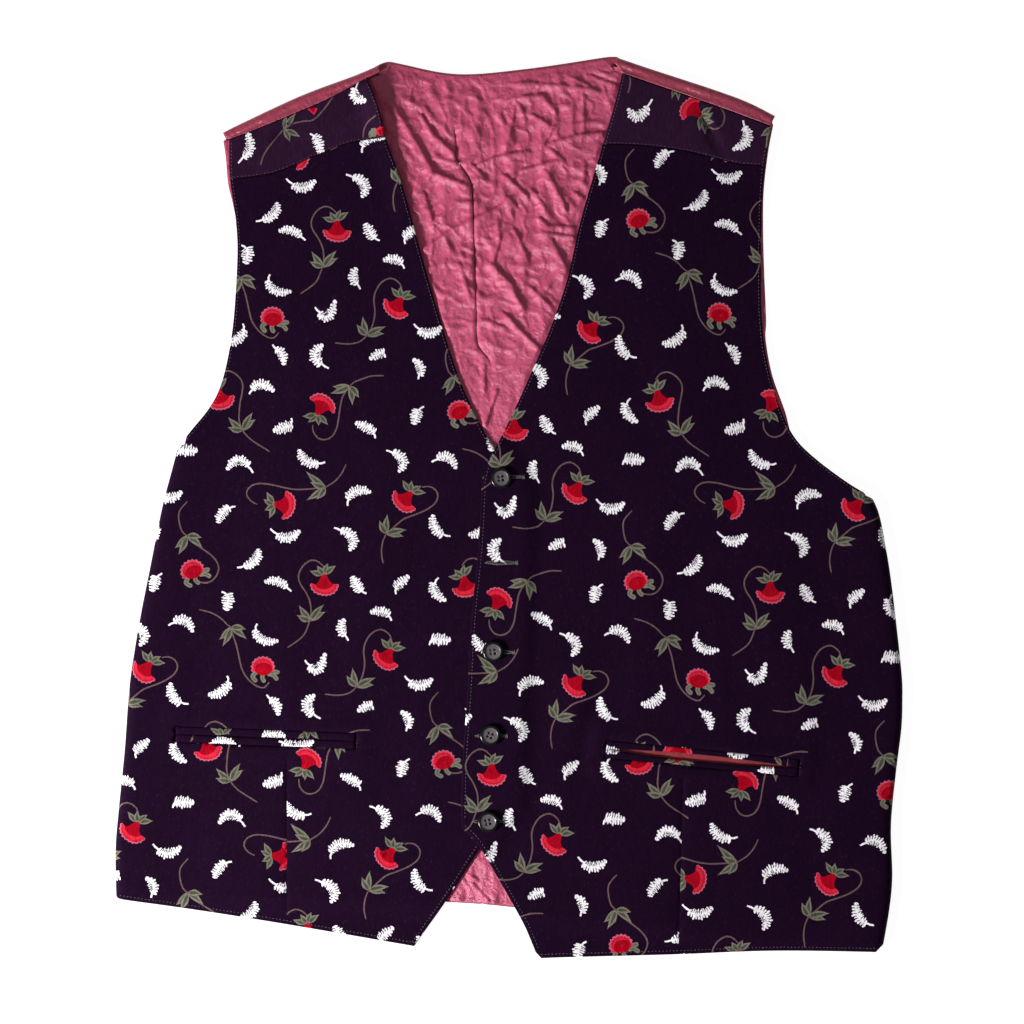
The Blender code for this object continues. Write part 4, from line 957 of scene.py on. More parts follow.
def sprig_shapes(stalk, foot, middle, tip, width):
    """A white sprig: one bristly shape with fine dark slits between its bristles, on a short stalk."""
    stalk, foot, middle, tip = (np.array(p, float) for p in (stalk, foot, middle, tip))
    control = 2 * middle - (foot + tip) / 2
    length = np.linalg.norm(middle - foot) + np.linalg.norm(tip - middle)
    lobes = max(6, round(length / 2.35))
    t = np.linspace(0, 1, 5 * lobes + 1)[:, None]
    curve = foot * (1 - t) ** 2 + 2 * control * t * (1 - t) + tip * t**2
    normal = outward_normals(curve)
    along = np.stack([-normal[:, 1], normal[:, 0]], axis=1)
    seed = stalk[0] * 0.37 + stalk[1] * 0.71
    share = t[:, 0]
    girth = width / 2 * (1.02 - 0.52 * abs(2 * share - 0.85) ** 2.8)
    bristle = np.tile([0.66, 0.98, 1.14, 1.12, 0.9], lobes + 1)[: len(share)]
    sides = []
    for sign in (1, -1):
        wobble = 1 + 0.17 * np.sin(np.floor(share * lobes + 0.01) * 2.4 + seed + sign)
        lean = 0.8 * (bristle - 0.7)
        sides.append(curve + sign * normal * (girth * bristle * wobble)[:, None] + along * lean[:, None])
    body = np.concatenate([sides[0], sides[1][::-1]])
    stem = np.array([stalk, (stalk + foot) / 2, foot + (middle - foot) * 0.25])
    shapes = [("white", ribbon(stem, 2.0, 0.85)), ("white", body)]
    for lobe in range(1, lobes):
        k = 5 * lobe
        for sign in ((1, -1) if math.sin(lobe * 2.3 + seed) > -0.2 else (1,)):
            near = 0.06 + 0.2 * abs(math.sin(lobe * 1.3 + seed + sign))
            far = near + 0.46 + 0.22 * abs(math.sin(lobe * 0.9 + seed * 2 - sign))
            a = curve[k] + normal[k] * sign * girth[k] * near - along[k] * 0.3
            b = curve[k] + normal[k] * sign * girth[k] * far + along[k] * 0.5
            half = along[k] * 0.56
            shapes.append(("slit", np.array([a - half * 0.5, b - half, b + half, a + half * 0.5])))
    return shapes


def scalloped(curve, count, depth):
    """A curve whose edge swells out in scallops, to the right of its direction of travel."""
    fine = resampled(curve, count * 4 + 1)
    swell = np.abs(np.sin(np.linspace(0, count * math.pi, len(fine)))) * depth
    return fine + outward_normals(fine) * swell[:, None]


BELL_FUNNEL = [(-1.2, 9.2), (1.4, 9.2), (2.8, 7.4), (3.6, 4.4), (5.6, 1.2), (8.8, -2.2), (5.2, -5.4),
               (0, -6.6), (-5.2, -5.8), (-8.8, -2.8), (-6.2, 0.6), (-4.2, 4.2), (-3.0, 7.4)]
BELL_LIP = [(-12.6, -0.6), (-12.2, -4.6), (-9.6, -8.2), (-5.2, -10.6), (0, -11.6), (5.2, -11.3),
            (9.4, -9.1), (12.3, -5.2), (13.0, -1.4)]
BELL_MOUTH = [(9.4, -1.2), (5.2, -4.4), (0, -5.6), (-5.2, -4.8), (-9.2, -1.8)]
BELL_CALYX = [(-14.9, 11.9), (-7.2, 17.3), (3.8, 19.6), (11.8, 17.1)]


def waves_along(curve, waves):
    """Fine scalloped lines along a petal's edge, given as the ink, the inset, the count and the depth."""
    return [(ink, ribbon(scalloped(shifted(curve, inset), count, depth)[3:-3], 0.5, 0.9))
            for ink, inset, count, depth in waves]


def placed(shapes, at, turn):
    """Local shapes on the chart."""
    return [(ink, turned(p, at, turn)) for ink, p in shapes]


def bell_shapes(at, turn):
    """A bell flower, facing down at turn 0, with the leaves of its calyx."""
    lip = smooth(BELL_LIP, 1.5)[::-1]
    shapes = [(ink, np.concatenate([scalloped(line, 10, -1.2), BELL_MOUTH[::-1]]))
              for ink, line in (("mauve", shifted(lip, 0.75)), ("coral", lip))]
    shapes += waves_along(lip, (("pale coral", -0.2, 10, -1.1), ("dark red", -1.8, 13, -1.1)))
    shapes.append(("red", smooth([*BELL_FUNNEL, BELL_FUNNEL[0]], 1.6)[:-1]))
    for x in (-3.4, 0.2, 3.6):
        shapes.append(("dark red", ribbon(np.array([(x * 0.25, 5.5), (x * 0.7, 0.5), (x * 1.2, -3.8)]), 0.5)))
    shapes = placed(shapes, at, turn)
    for index, tip in enumerate(BELL_CALYX):
        foot = (-1.2 + index * 0.8, 8.6)
        shapes += leaf_shapes(*turned([foot, tip], at, turn), 6.0)
    return shapes


ROSETTE_SEPALS = [
    [(-6, -5.6), (-10.5, -9.5), (-6.2, -15.2)], [(0, -7.4), (-0.5, -11.5), (2, -15.6)],
    [(4.2, -7), (10.6, -8.6), (14.7, -13.6)], [(5, -6.4), (12.6, -5), (16.4, -6.4)],
]


def rosette_shapes(at, turn):
    """A round flower with a scalloped edge, on its curled sepals."""
    shapes = []
    for sepal in ROSETTE_SEPALS:
        band = smooth(sepal, 1.5)
        shapes += [("leaf", ribbon(band, 4.4, 0.35)), ("vein", ribbon(band[1:-1], 0.7))]
    ring = np.radians(np.linspace(-28, 208, 40))
    head = np.stack([10.2 * np.cos(ring), -0.6 + 9.2 * np.sin(ring)], axis=1)
    shapes += [("mauve", scalloped(shifted(head, -0.8), 11, 1.5)), ("coral", scalloped(head, 11, 1.4))]
    shapes += waves_along(head, (("pale coral", 0.3, 11, 1.1), ("dark red", 2.3, 14, 1.1)))
    around = np.radians(np.arange(0, 360, 18))
    shapes.append(("red", np.stack([0.5 + 8.8 * np.cos(around), -2.4 + 6.4 * np.sin(around)], axis=1)))
    for angle in range(20, 170, 16):
        t = math.radians(angle)
        inner = (5.2 * math.cos(t), -1.6 + 4.2 * math.sin(t))
        outer = (8.4 * math.cos(t), -1.0 + 7.0 * math.sin(t))
        shapes.append(("dark red", ribbon(straight(inner, outer, 1.2), 0.5)))
    round_dot = 0.34 * np.stack([np.cos(around[::4]), np.sin(around[::4])], axis=1)
    for dx, dy in ((0, 0), (1.2, 0.5), (-1.1, 0.4), (0.3, 1.2), (0.1, -1.1)):
        shapes.append(("coral", [0.8 + dx, -2.2 + dy] + round_dot))
    return placed(shapes, at, turn)


def leaf_spray(node, axis, narrow=False):
    """Four leaves from one node of a stem."""
    if narrow:
        leaves = ((-47, 25.8), (-27, 16.3), (27, 23.0), (47, 15.0))
    else:
        leaves = ((-60, 17.5), (-40, 21.0), (37, 19.5), (68, 15.0))
    shapes = []
    for angle, length in leaves:
        t = math.radians(axis + angle)
        tip = (node[0] + length * math.cos(t), node[1] - length * math.sin(t))
        shapes += leaf_shapes(node, tip, 6.6)
    around = np.radians(np.arange(0, 360, 60))
    knot = np.stack([node[0] + 1.3 * np.cos(around), node[1] + 1.3 * np.sin(around)], axis=1)
    return [*shapes, ("stem", knot)]


def flower_shapes(name):
    """One flower of the repeat with its stem, its leaves and the tail of the stem."""
    flower = FLOWERS[name]
    stem = smooth([*flower["stem"], flower["node"]], 3.5)
    tail = smooth([flower["node"], *flower["tail"]], 3.5)
    shapes = [("stem", ribbon(stem, 1.5, 0.7)), ("stem", ribbon(tail, 1.4, 0.7))]
    shapes += leaf_spray(flower["node"], flower["axis"], narrow=name == "G")
    draw = bell_shapes if flower["kind"] == "bell" else rosette_shapes
    return shapes + draw(flower["at"], flower["turn"])


def sprig_middle(sprig):
    points = np.array(sprig[1:4], float)
    return (points.min(axis=0) + points.max(axis=0)) / 2


def clipped(shape, line, sign):
    """The part of a shape that lies on one side of an upright line: 1 for its right and -1 for its left."""
    (x0, y0), (x1, y1) = line
    away = sign * (shape[:, 0] - (x0 + (shape[:, 1] - y0) * (x1 - x0) / (y1 - y0)))
    made = []
    for here, there, a, b in zip(shape, np.roll(shape, -1, axis=0), away, np.roll(away, -1)):
        if a >= 0:
            made.append(here)
        if (a >= 0) != (b >= 0):
            made.append(here + (there - here) * (a / (a - b)))
    return np.array(made)


def seen_places(side, homes, lattice):
    """Where motifs would lie in an even repeat, and how far from there each really lies."""
    names = list(FLOWERS)
    at, off = [], []
    for motif, x, y in PLACED[side]:
        home = homes[names.index(motif) if motif in FLOWERS else len(names) + motif]
        expected = home + lattice @ np.round(np.linalg.solve(lattice, np.array([x, y]) - home))
        at.append(expected)
        off.append(np.array([x, y]) - expected)
    return np.array(at), np.array(off)


def drawn_along(home, at, off):
    """Where a motif lies when its neighbours draw it along with them."""
    weight = 1 / (np.sum((at - home) ** 2, axis=1) + PLACING_REACH**2) ** 1.5
    return home + (weight @ off) / weight.sum()


def repeated_print(side):
    """Every motif of a front, in millimetres: the repeat, drawn to where the motifs really lie.

    Below a pocket the dart takes cloth away, so the print is placed apart on each side of it and cut there.
    """
    first, repeat = REPEATS["left"], REPEATS[side]
    lattice = np.array([repeat["along"], repeat["down"]], float).T
    drawn = lattice @ np.linalg.inv(np.array([first["along"], first["down"]], float).T)
    origin, start = np.array(repeat["origin"], float), np.array(first["origin"], float)
    motifs = [(np.array(FLOWERS[name]["at"], float), flower_shapes(name)) for name in FLOWERS]
    motifs += [(sprig_middle(sprig), sprig_shapes(*sprig)) for sprig in SPRIGS]
    homes = np.array([origin + drawn @ (at - start) for at, _ in motifs])
    at, off = seen_places(side, homes, lattice)
    line = np.array(DARTS[side]) / [SQUARE, -SQUARE] + CHART_ORIGIN
    seen = at + off
    right_of_dart = seen[:, 0] > np.interp(seen[:, 1], line[:, 1], line[:, 0])
    below = seen[:, 1] > line[0, 1]
    cells = [(i, j) for i in range(-3, 4) for j in range(-3, 4)]
    shapes = []
    for home, (middle, motif) in zip(homes, motifs):
        for expected in (home + lattice @ cell for cell in cells):
            if not all(low < value < high for value, (low, high) in zip(expected, PRINTED)):
                continue
            if expected[1] < line[0, 1] - 8:
                moved = drawn_along(expected, at, off)
                shapes += [(ink, moved + (p - middle) @ drawn.T) for ink, p in motif]
                continue
            for sign in (-1, 1):
                near = ~below | (right_of_dart == (sign > 0))
                moved = drawn_along(expected, at[near], off[near])
                parts = [(ink, clipped(moved + (p - middle) @ drawn.T, line, sign)) for ink, p in motif]
                shapes += [(ink, part) for ink, part in parts if len(part) > 2]
    return [(ink, from_chart(p)) for ink, p in shapes]


def bit_shapes(bits):
    """Loose motifs that are charted one by one."""
    shapes = [("stem", ribbon(smooth(line, 3.5), 1.5, 0.8)) for line in bits["stems"]]
    for leaf in bits["leaves"]:
        shapes += leaf_shapes(*leaf)
    for sprig in bits["sprigs"]:
        shapes += sprig_shapes(*sprig)
    for at, turn in bits["bells"]:
        shapes += bell_shapes(at, turn)
    shapes += [(ink, np.array(patch, float)) for ink, patch in bits["patches"]]
    return [(ink, from_chart(p)) for ink, p in shapes]


def touching(shapes, outline):
    """The shapes that overlap an outline's box."""
    low, high = outline.min(axis=0), outline.max(axis=0)
    return [(ink, p) for ink, p in shapes if (p.max(axis=0) > low).all() and (p.min(axis=0) < high).all()]


# Meshes


def seeds(outline, step, clear_of):
    """A triangular grid of points inside an outline, clear of its edge."""
    low, high = outline.min(axis=0), outline.max(axis=0)
    rows = np.arange(low[1], high[1], step * math.sqrt(3) / 2)
    grid = np.array([(x + (i % 2) * step / 2, y) for i, y in enumerate(rows)
                     for x in np.arange(low[0], high[0], step)])
    return grid[outside_distance(grid, outline) < -clear_of]


def triangulated(outline, holes, shapes, inner):
    """Points and triangles that fill an outline round its holes, and the ink of each triangle."""
    points, edges = [], []
    for loop in [outline, *holes, *[p for _, p in shapes]]:
        first = len(points)
        points += [tuple(p) for p in loop]
        edges += [(first + i, first + (i + 1) % len(loop)) for i in range(len(loop))]
    points += [tuple(p) for p in inner]
    made = delaunay_2d_cdt([Vector(p) for p in points], edges, [], 0, 1e-4, False)
    flat = np.array([tuple(p) for p in made[0]])
    faces = np.array([f for f in made[2] if len(f) == 3])
    corners = flat[faces]
    area = np.cross(corners[:, 1] - corners[:, 0], corners[:, 2] - corners[:, 0]) / 2
    middle = corners.mean(axis=1)
    kept = inside(middle, outline) & (abs(area) > SLIVER_AREA)
    for hole in holes:
        kept &= ~inside(middle, hole)
    faces, middle, area = faces[kept], middle[kept], area[kept]
    faces[area < 0] = faces[area < 0][:, ::-1]
    ink = np.full(len(faces), -1)
    order = np.argsort(middle[:, 0])
    from_left = middle[order, 0]
    for name, shape in shapes:
        low, high = shape.min(axis=0), shape.max(axis=0)
        near = order[np.searchsorted(from_left, low[0]):np.searchsorted(from_left, high[0])]
        near = near[(middle[near, 1] > low[1]) & (middle[near, 1] < high[1])]
        ink[near[inside(middle[near], shape)]] = INK_NUMBER[name]
    used, numbered = np.unique(faces, return_inverse=True)
    return flat[used], numbered.reshape(faces.shape), ink


def linear(colour):
    """Linear light of an sRGB colour from 0 to 255."""
    c = np.asarray(colour, float) / 255
    return np.where(c <= 0.04045, c / 12.92, ((c + 0.055) / 1.055) ** 2.4)


INK_LIGHT = np.array([[*linear(colour), 1] for _, colour in INKS])


def add_mesh(name, points, faces, materials):
    mesh = bpy.data.meshes.new(name)
    corners = [tuple(p) for p in np.asarray(points) * MM]
    mesh.from_pydata(corners, [], [tuple(int(i) for i in face) for face in faces])
    for material in materials:
        mesh.materials.append(material)
    mesh.validate()
    mesh.polygons.foreach_set("use_smooth", [True] * len(mesh.polygons))
    obj = bpy.data.objects.new(name, mesh)
    bpy.context.scene.collection.objects.link(obj)
    return obj


def paint(obj, ink, ground):
    """Gives each face the colour of its ink."""
    numbers = np.where(ink < 0, INK_NUMBER[ground], ink)
    layer = obj.data.color_attributes.new("Print", "FLOAT_COLOR", "CORNER")
    per_corner = np.repeat(numbers, 3)
    layer.data.foreach_set("color", INK_LIGHT[per_corner].astype(np.float32).ravel())


def welded(obj, distance=0.02):
    """The object with points that lie on each other made one."""
    work = bmesh.new()
    work.from_mesh(obj.data)
    bmesh.ops.remove_doubles(work, verts=work.verts, dist=distance * MM)
    work.to_mesh(obj.data)
    work.free()
    return obj


def crisp_rim(obj):
    """Keeps the edge of a sheet from looking round where it meets its neighbour."""
    work = bmesh.new()
    work.from_mesh(obj.data)
    for line in work.edges:
        line.smooth = not line.is_boundary
    work.to_mesh(obj.data)
    work.free()
    return obj


def add_wall(obj, thickness, rim=None):
    """Gives a surface its cloth's thickness, half on each side, and thins it at the points of its rim."""
    wall = obj.modifiers.new("Wall", "SOLIDIFY")
    wall.thickness = thickness * MM
    wall.offset = 0
    wall.use_quality_normals = True
    if len(obj.data.materials) > 1:
        wall.material_offset = 1
    if rim is not None:
        group = obj.vertex_groups.new(name="Wall")
        group.add(list(range(len(obj.data.vertices))), 1.0, "REPLACE")
        group.add([int(i) for i in rim], RIM_SHARE, "REPLACE")
        wall.vertex_group = group.name


def strip_faces(rows, count):
    """Quads between rows that each hold count points."""
    return [(r * count + i, r * count + i + 1, (r + 1) * count + i + 1, (r + 1) * count + i)
            for r in range(rows - 1) for i in range(count - 1)]


def rings(outline, distances):
    """Lines of points a little inside an outline, to round its edge and to carry its stitching."""
    made = []
    for distance in distances:
        ring = shifted(np.concatenate([outline[-2:], outline, outline[:2]]), distance)[2:-2]
        made.append(ring[outside_distance(ring, outline) < -distance * 0.8])
    return np.concatenate(made)


def rim_points(flat, outline):
    """The points of a mesh that lie on its outline."""
    return np.flatnonzero(distance_to(flat, np.concatenate([outline, outline[:1]])) < 0.02)


# Materials


def new_material(name):
    material = bpy.data.materials.new(name)
    material.use_nodes = True
    tree = material.node_tree
    return material, tree, tree.nodes["Principled BSDF"]


def add_node(tree, kind, **settings):
    node = tree.nodes.new(kind)
    for name, value in settings.items():
        setattr(node, name, value)
    return node


def noise_node(tree, scale, detail=2.0, stretch=(1, 1, 1)):
    """Noise over the cloth itself, with scale in lumps per metre."""
    place = add_node(tree, "ShaderNodeTexCoord")
    spread = add_node(tree, "ShaderNodeMapping")
    spread.inputs["Scale"].default_value = stretch
    texture = add_node(tree, "ShaderNodeTexNoise")
    texture.inputs["Scale"].default_value = scale
    texture.inputs["Detail"].default_value = detail
    tree.links.new(place.outputs["Object"], spread.inputs["Vector"])
    tree.links.new(spread.outputs["Vector"], texture.inputs["Vector"])
    return texture.outputs["Fac"]


def wave_node(tree, period, direction, distortion=0.0):
    """Even threads across one direction, with their period in millimetres."""
    place = add_node(tree, "ShaderNodeTexCoord")
    texture = add_node(tree, "ShaderNodeTexWave", bands_direction=direction)
    texture.inputs["Scale"].default_value = 2 * math.pi / (20 * period * MM)
    texture.inputs["Distortion"].default_value = distortion
    tree.links.new(place.outputs["Object"], texture.inputs["Vector"])
    return texture.outputs["Fac"]


def mapped(tree, value, low, high):
    """A value from 0 to 1 carried to another range."""
    node = add_node(tree, "ShaderNodeMapRange")
    node.inputs["To Min"].default_value = low
    node.inputs["To Max"].default_value = high
    tree.links.new(value, node.inputs["Value"])
    return node.outputs["Result"]


def combined(tree, operation, a, b):
    node = add_node(tree, "ShaderNodeMath", operation=operation)
    tree.links.new(a, node.inputs[0])
    tree.links.new(b, node.inputs[1])
    return node.outputs[0]


def shaded(tree, colour, factor):
    """A colour made lighter or darker by a factor about 1."""
    node = add_node(tree, "ShaderNodeVectorMath", operation="SCALE")
    if isinstance(colour, tuple):
        node.inputs[0].default_value = colour
    else:
        tree.links.new(colour, node.inputs[0])
    tree.links.new(factor, node.inputs["Scale"])
    return node.outputs["Vector"]


def bumped(tree, shader, height, depth):
    node = add_node(tree, "ShaderNodeBump")
    node.inputs["Strength"].default_value = 1.0
    node.inputs["Distance"].default_value = depth * MM
    tree.links.new(height, node.inputs["Height"])
    tree.links.new(node.outputs["Normal"], shader.inputs["Normal"])


def printed_material():
    """Plain-woven printed rayon: matt, finely threaded, with faint upright streaks and pale lint."""
    material, tree, shader = new_material("printed cloth")
    ink = add_node(tree, "ShaderNodeAttribute", attribute_name="Print")
    streaks = mapped(tree, noise_node(tree, 800, 3, (1, 0.2, 1)), 0.45, 1.55)
    patches = mapped(tree, noise_node(tree, 18, 3), 0.82, 1.2)
    factor = combined(tree, "MULTIPLY", streaks, patches)
    base = shaded(tree, ink.outputs["Color"], factor)
    lint = add_node(tree, "ShaderNodeMix", data_type="RGBA")
    lint.inputs["B"].default_value = (*linear((120, 105, 125)), 1)
    specks = add_node(tree, "ShaderNodeMapRange")
    specks.inputs["From Min"].default_value = 0.62
    specks.inputs["From Max"].default_value = 0.9
    specks.inputs["To Max"].default_value = 0.12
    tree.links.new(noise_node(tree, 900, 2, (1, 0.5, 1)), specks.inputs["Value"])
    tree.links.new(specks.outputs["Result"], lint.inputs["Factor"])
    tree.links.new(base, lint.inputs["A"])
    tree.links.new(lint.outputs["Result"], shader.inputs["Base Color"])
    tree.links.new(mapped(tree, noise_node(tree, 60, 3), 0.74, 0.9), shader.inputs["Roughness"])
    shader.inputs["Specular IOR Level"].default_value = 0.05
    weave = combined(tree, "MULTIPLY", wave_node(tree, 0.55, "X"), wave_node(tree, 0.6, "Y"))
    bumped(tree, shader, combined(tree, "ADD", weave, noise_node(tree, 1400, 2)), 0.05)
    return material


def creased(tree, value):
    """Sharp ridges where a noise passes its middle."""
    node = add_node(tree, "ShaderNodeMath", operation="PINGPONG")
    node.inputs[1].default_value = 0.5
    tree.links.new(value, node.inputs[0])
    return node.outputs[0]


def satin_material(name, colour, roughness, variation, sheen, wrinkles=0.3):
    """Smooth satin-like cloth with fine threads, slubs, small wrinkles and a soft sheen."""
    material, tree, shader = new_material(name)
    slubs = mapped(tree, noise_node(tree, 500, 3, (1, 0.12, 1)), 1 - variation, 1 + variation)
    patches = mapped(tree, noise_node(tree, 25, 3), 1 - variation, 1 + variation)
    base = shaded(tree, tuple(linear(colour)), combined(tree, "MULTIPLY", slubs, patches))
    tree.links.new(base, shader.inputs["Base Color"])
    tree.links.new(mapped(tree, noise_node(tree, 80, 3), roughness - 0.05, roughness + 0.07),
                   shader.inputs["Roughness"])
    shader.inputs["Sheen Weight"].default_value = sheen
    shader.inputs["Sheen Roughness"].default_value = 0.35
    shader.inputs["Sheen Tint"].default_value = (1.0, 0.72, 0.8, 1)
    weave = combined(tree, "ADD", wave_node(tree, 0.4, "X", 0.6), noise_node(tree, 700, 3, (1, 0.3, 1)))
    wrinkled = mapped(tree, creased(tree, noise_node(tree, 130, 3)), 0, wrinkles / 0.06)
    bumped(tree, shader, combined(tree, "ADD", weave, wrinkled), 0.06)
    return material


def thread_material(name, colour):
    """Twisted sewing thread."""
    material, tree, shader = new_material(name)
    twist = mapped(tree, noise_node(tree, 1500, 2), 0.7, 1.25)
    tree.links.new(shaded(tree, tuple(linear(colour)), twist), shader.inputs["Base Color"])
    shader.inputs["Roughness"].default_value = 0.6
    shader.inputs["Sheen Weight"].default_value = 0.3
    bumped(tree, shader, noise_node(tree, 2600, 2), 0.05)
    return material


def button_material(name, low, high, roughness):
    """Polished horn-like plastic, swirled between a darker and a lighter tone."""
    material, tree, shader = new_material(name)
    swirl = noise_node(tree, 160, 4, (1, 0.5, 1))
    ramp = add_node(tree, "ShaderNodeMix", data_type="RGBA")
    ramp.inputs["A"].default_value = (*linear(low), 1)
    ramp.inputs["B"].default_value = (*linear(high), 1)
    tree.links.new(swirl, ramp.inputs["Factor"])
    tree.links.new(ramp.outputs["Result"], shader.inputs["Base Color"])
    tree.links.new(mapped(tree, noise_node(tree, 500, 3), roughness - 0.04, roughness + 0.06),
                   shader.inputs["Roughness"])
    shader.inputs["Specular IOR Level"].default_value = 0.35
    shader.inputs["Coat Weight"].default_value = 0.15
    shader.inputs["Coat Roughness"].default_value = 0.12
    bumped(tree, shader, noise_node(tree, 260, 3), 0.03)
    return material


def glowing_floor_material():
    """White paper that glows: painted light, strong enough that no shadow of the cloth greys it."""
    material, tree, shader = new_material("floor")
    tint = mapped(tree, noise_node(tree, 3, 2), 0.985, 1.0)
    tree.links.new(shaded(tree, (0.3, 0.3, 0.3), tint), shader.inputs["Base Color"])
    shader.inputs["Roughness"].default_value = 0.9
    # Painted light: the floor glows white, so the shadows that the cloth casts on it nearly vanish
    shader.inputs["Emission Color"].default_value = (1, 1, 1, 1)
    shader.inputs["Emission Strength"].default_value = 0.92
    return material


# The pieces


def declare(obj, nodes):
    """Ties a piece to the frame, and hides the solids that it stands for."""
    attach(obj, "root")
    if nodes:
        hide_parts(*nodes)


def parted(outline, seam, along, gap=GAP):
    """The two outlines that a seam along an axis cuts one into, first what lies on the seam's left."""
    order = np.argsort(seam[:, along])
    across = np.interp(outline[:, along], seam[order, along], seam[order, 1 - along])
    first = outline[:, 1 - along] > across
    start = int(np.flatnonzero(first & ~np.roll(first, 1))[0])
    rotated = np.roll(outline, -start, axis=0)
    count = int(first.sum())
    halves = ((rotated[:count], shifted(seam, gap / 2)), (rotated[count:], shifted(seam, -gap / 2)[::-1]))
    return [chain(half[distance_to(half, line) > 1.5], line) for half, line in halves]


def seam_within(points, outline, step):
    """The part of a seam's curve that lies inside an outline."""
    dense = smooth(points, 0.5)
    dense = dense[inside(dense, outline)]
    return resampled(dense, round(len(dense) * 0.5 / step))


def half_turn(line, outward, reach, low, high, degrees):
    """Rows of points of a cloth that rolls over from one height to another."""
    return [np.column_stack([line + outward * reach * math.sin(a),
                             np.full(len(line), low + (high - low) / 2 * (1 - math.cos(a)))])
            for a in np.radians(np.arange(0, 181, degrees))]


def shoulder_strip(side):
    """The back rolls up over the shoulder and comes down the front to the shoulder seam."""
    line = shoulder_start(side, SHOULDER_POINTS)
    outward = -outward_normals(shoulder_fold(side, SHOULDER_POINTS))
    rows = half_turn(line, outward, SHOULDER_ROLL, BACK_MID, SHOULDER_TOP, 12)
    seam = shifted(shoulder_seam(side, SHOULDER_POINTS), GAP)
    for share in np.linspace(0, 1, 9)[1:]:
        flat = line + (seam - line) * share
        ripple = sum(rise * grain(flat, *lumps) for rise, *lumps in SHOULDER_RIPPLES)
        height = SHOULDER_TOP + math.sin(share * math.pi) * (ripple - SHOULDER_SAG)
        rows.append(np.column_stack([flat, height]))
    return np.concatenate(rows), strip_faces(len(rows), len(line))


def neck_roll(seam_x, side):
    """The back rolls up over the lining along its neck."""
    curve = smooth([NECK_ROLL_ENDS[0], *BACK_NECK, NECK_ROLL_ENDS[1]], 2.0)
    end = np.array([[seam_x, np.interp(seam_x, *smooth(BACK_NECK, 2.0).T)]])
    if side == "left":
        curve = np.concatenate([curve[curve[:, 0] < seam_x], end])
        shoulder_end = curve[0]
    else:
        curve = np.concatenate([end, curve[curve[:, 0] > seam_x]])
        shoulder_end = curve[-1]
    outward = -outward_normals(curve)
    line = curve - outward * NECK_ROLL
    rows = half_turn(line, outward, NECK_ROLL, BACK_MID, NECK_TOP, 20)
    from_shoulder = np.linalg.norm(curve - shoulder_end, axis=1)
    reach = NECK_FLAP + SHOULDER_FLAP * (1 - ease((from_shoulder - 5) / 8))
    for share in (0.4, 0.8, 1.0):
        flap = line - outward * (reach * share)[:, None]
        rows.append(np.column_stack([flap, np.full(len(line), NECK_TOP)]))
    return np.concatenate(rows), strip_faces(len(rows), len(line))


def add_back(materials):
    starts = {side: shoulder_start(side, SHOULDER_POINTS) for side in SIDES}
    whole = back_outline(BACK_SIDE_INSET, starts, 0, 0, FINE)
    seam = seam_within(BACK_SEAM, whole, 4)
    for side, outline in zip(("right", "left"), parted(whole, seam, 1)):
        inner = seeds(outline, COVERED_STEP, COVERED_STEP * 0.4)
        flat, faces, _ = triangulated(outline, [], [], np.concatenate([inner, rings(outline, (0.8, 4.0))]))
        points = np.column_stack([flat, np.full(len(flat), BACK_MID)])
        faces = [tuple(f) for f in faces]
        for more, more_faces in (shoulder_strip(side), neck_roll(seam[-1, 0], side)):
            faces += [tuple(i + len(points) for i in face) for face in more_faces]
            points = np.concatenate([points, more])
        obj = welded(add_mesh(f"back_{side}_satin", points, faces, materials))
        add_wall(obj, BACK_WALL)
        declare(obj, [f"back_{side}"])


def add_lining(materials):
    starts = {side: shifted(shoulder_start(side, SHOULDER_POINTS), -2.0) for side in SIDES}
    whole = back_outline(LINING_INSET, starts, LINING_EDGE_INSET, LINING_EDGE_INSET, FINE)
    seam = seam_within(LINING_SEAM, whole, FINE)
    gap = SEAM_CLOSED + (SEAM_WIDEST - SEAM_CLOSED) * seam_openness(seam)
    halves = parted(whole, seam, 1, gap)
    for side, half, height in zip(("right", "left"), halves, (lining_height, pleated_height)):
        covered = seeds(half, COVERED_STEP, 6)
        covered = covered[open_lining(covered) < -COVERED_STEP * 0.6]
        fine = seeds(half, CRUMPLE_STEP, 0.7)
        fine = fine[open_lining(fine) > -3]
        flat, faces, _ = triangulated(half, [], [], np.concatenate([covered, fine]))
        points = np.column_stack([flat, height(flat)])
        obj = crisp_rim(add_mesh(f"lining_{side}_cloth", points, faces, materials))
        add_wall(obj, LINING_WALL, rim_points(flat, whole))
        declare(obj, [f"lining_{side}"])


def pocket_turn(pocket):
    """The directions along and across a pocket, as the rows of a matrix."""
    tilt = math.radians(pocket["tilt"])
    return np.array([[math.cos(tilt), math.sin(tilt)], [-math.sin(tilt), math.cos(tilt)]])


def pocket_window(pocket, margin, step=FINE):
    """The outline of a pocket's window, grown by a margin."""
    half = np.array([pocket["length"], pocket["height"]]) / 2 + margin
    middle = np.array([pocket["x"], pocket["y"]])
    along, across = pocket_turn(pocket)
    corners = [middle + along * a * half[0] + across * b * half[1] for a, b in CORNERS]
    return np.concatenate([straight(a, b, step)[:-1] for a, b in zip(corners, corners[1:] + corners[:1])])


def buttonhole_slit(x, y):
    """The cut of a buttonhole, a little wider in its middle."""
    share = np.linspace(-1, 1, 15)
    along = x + share * BUTTONHOLE_LENGTH / 2
    half = BUTTONHOLE_SLIT / 2 * (1 - 0.8 * share**2)
    lower, upper = np.stack([along, y - half], axis=1), np.stack([along, y + half], axis=1)
    return np.concatenate([lower, upper[::-1][1:-1]])


def dart_points():
    """Mesh points along each dart, so that its seam shows as a sharp line."""
    return np.concatenate([shifted(straight(*dart, FINE), offset)
                           for dart in DARTS.values() for offset in (-1.6, -0.8, 0.0, 0.8, 1.6)])


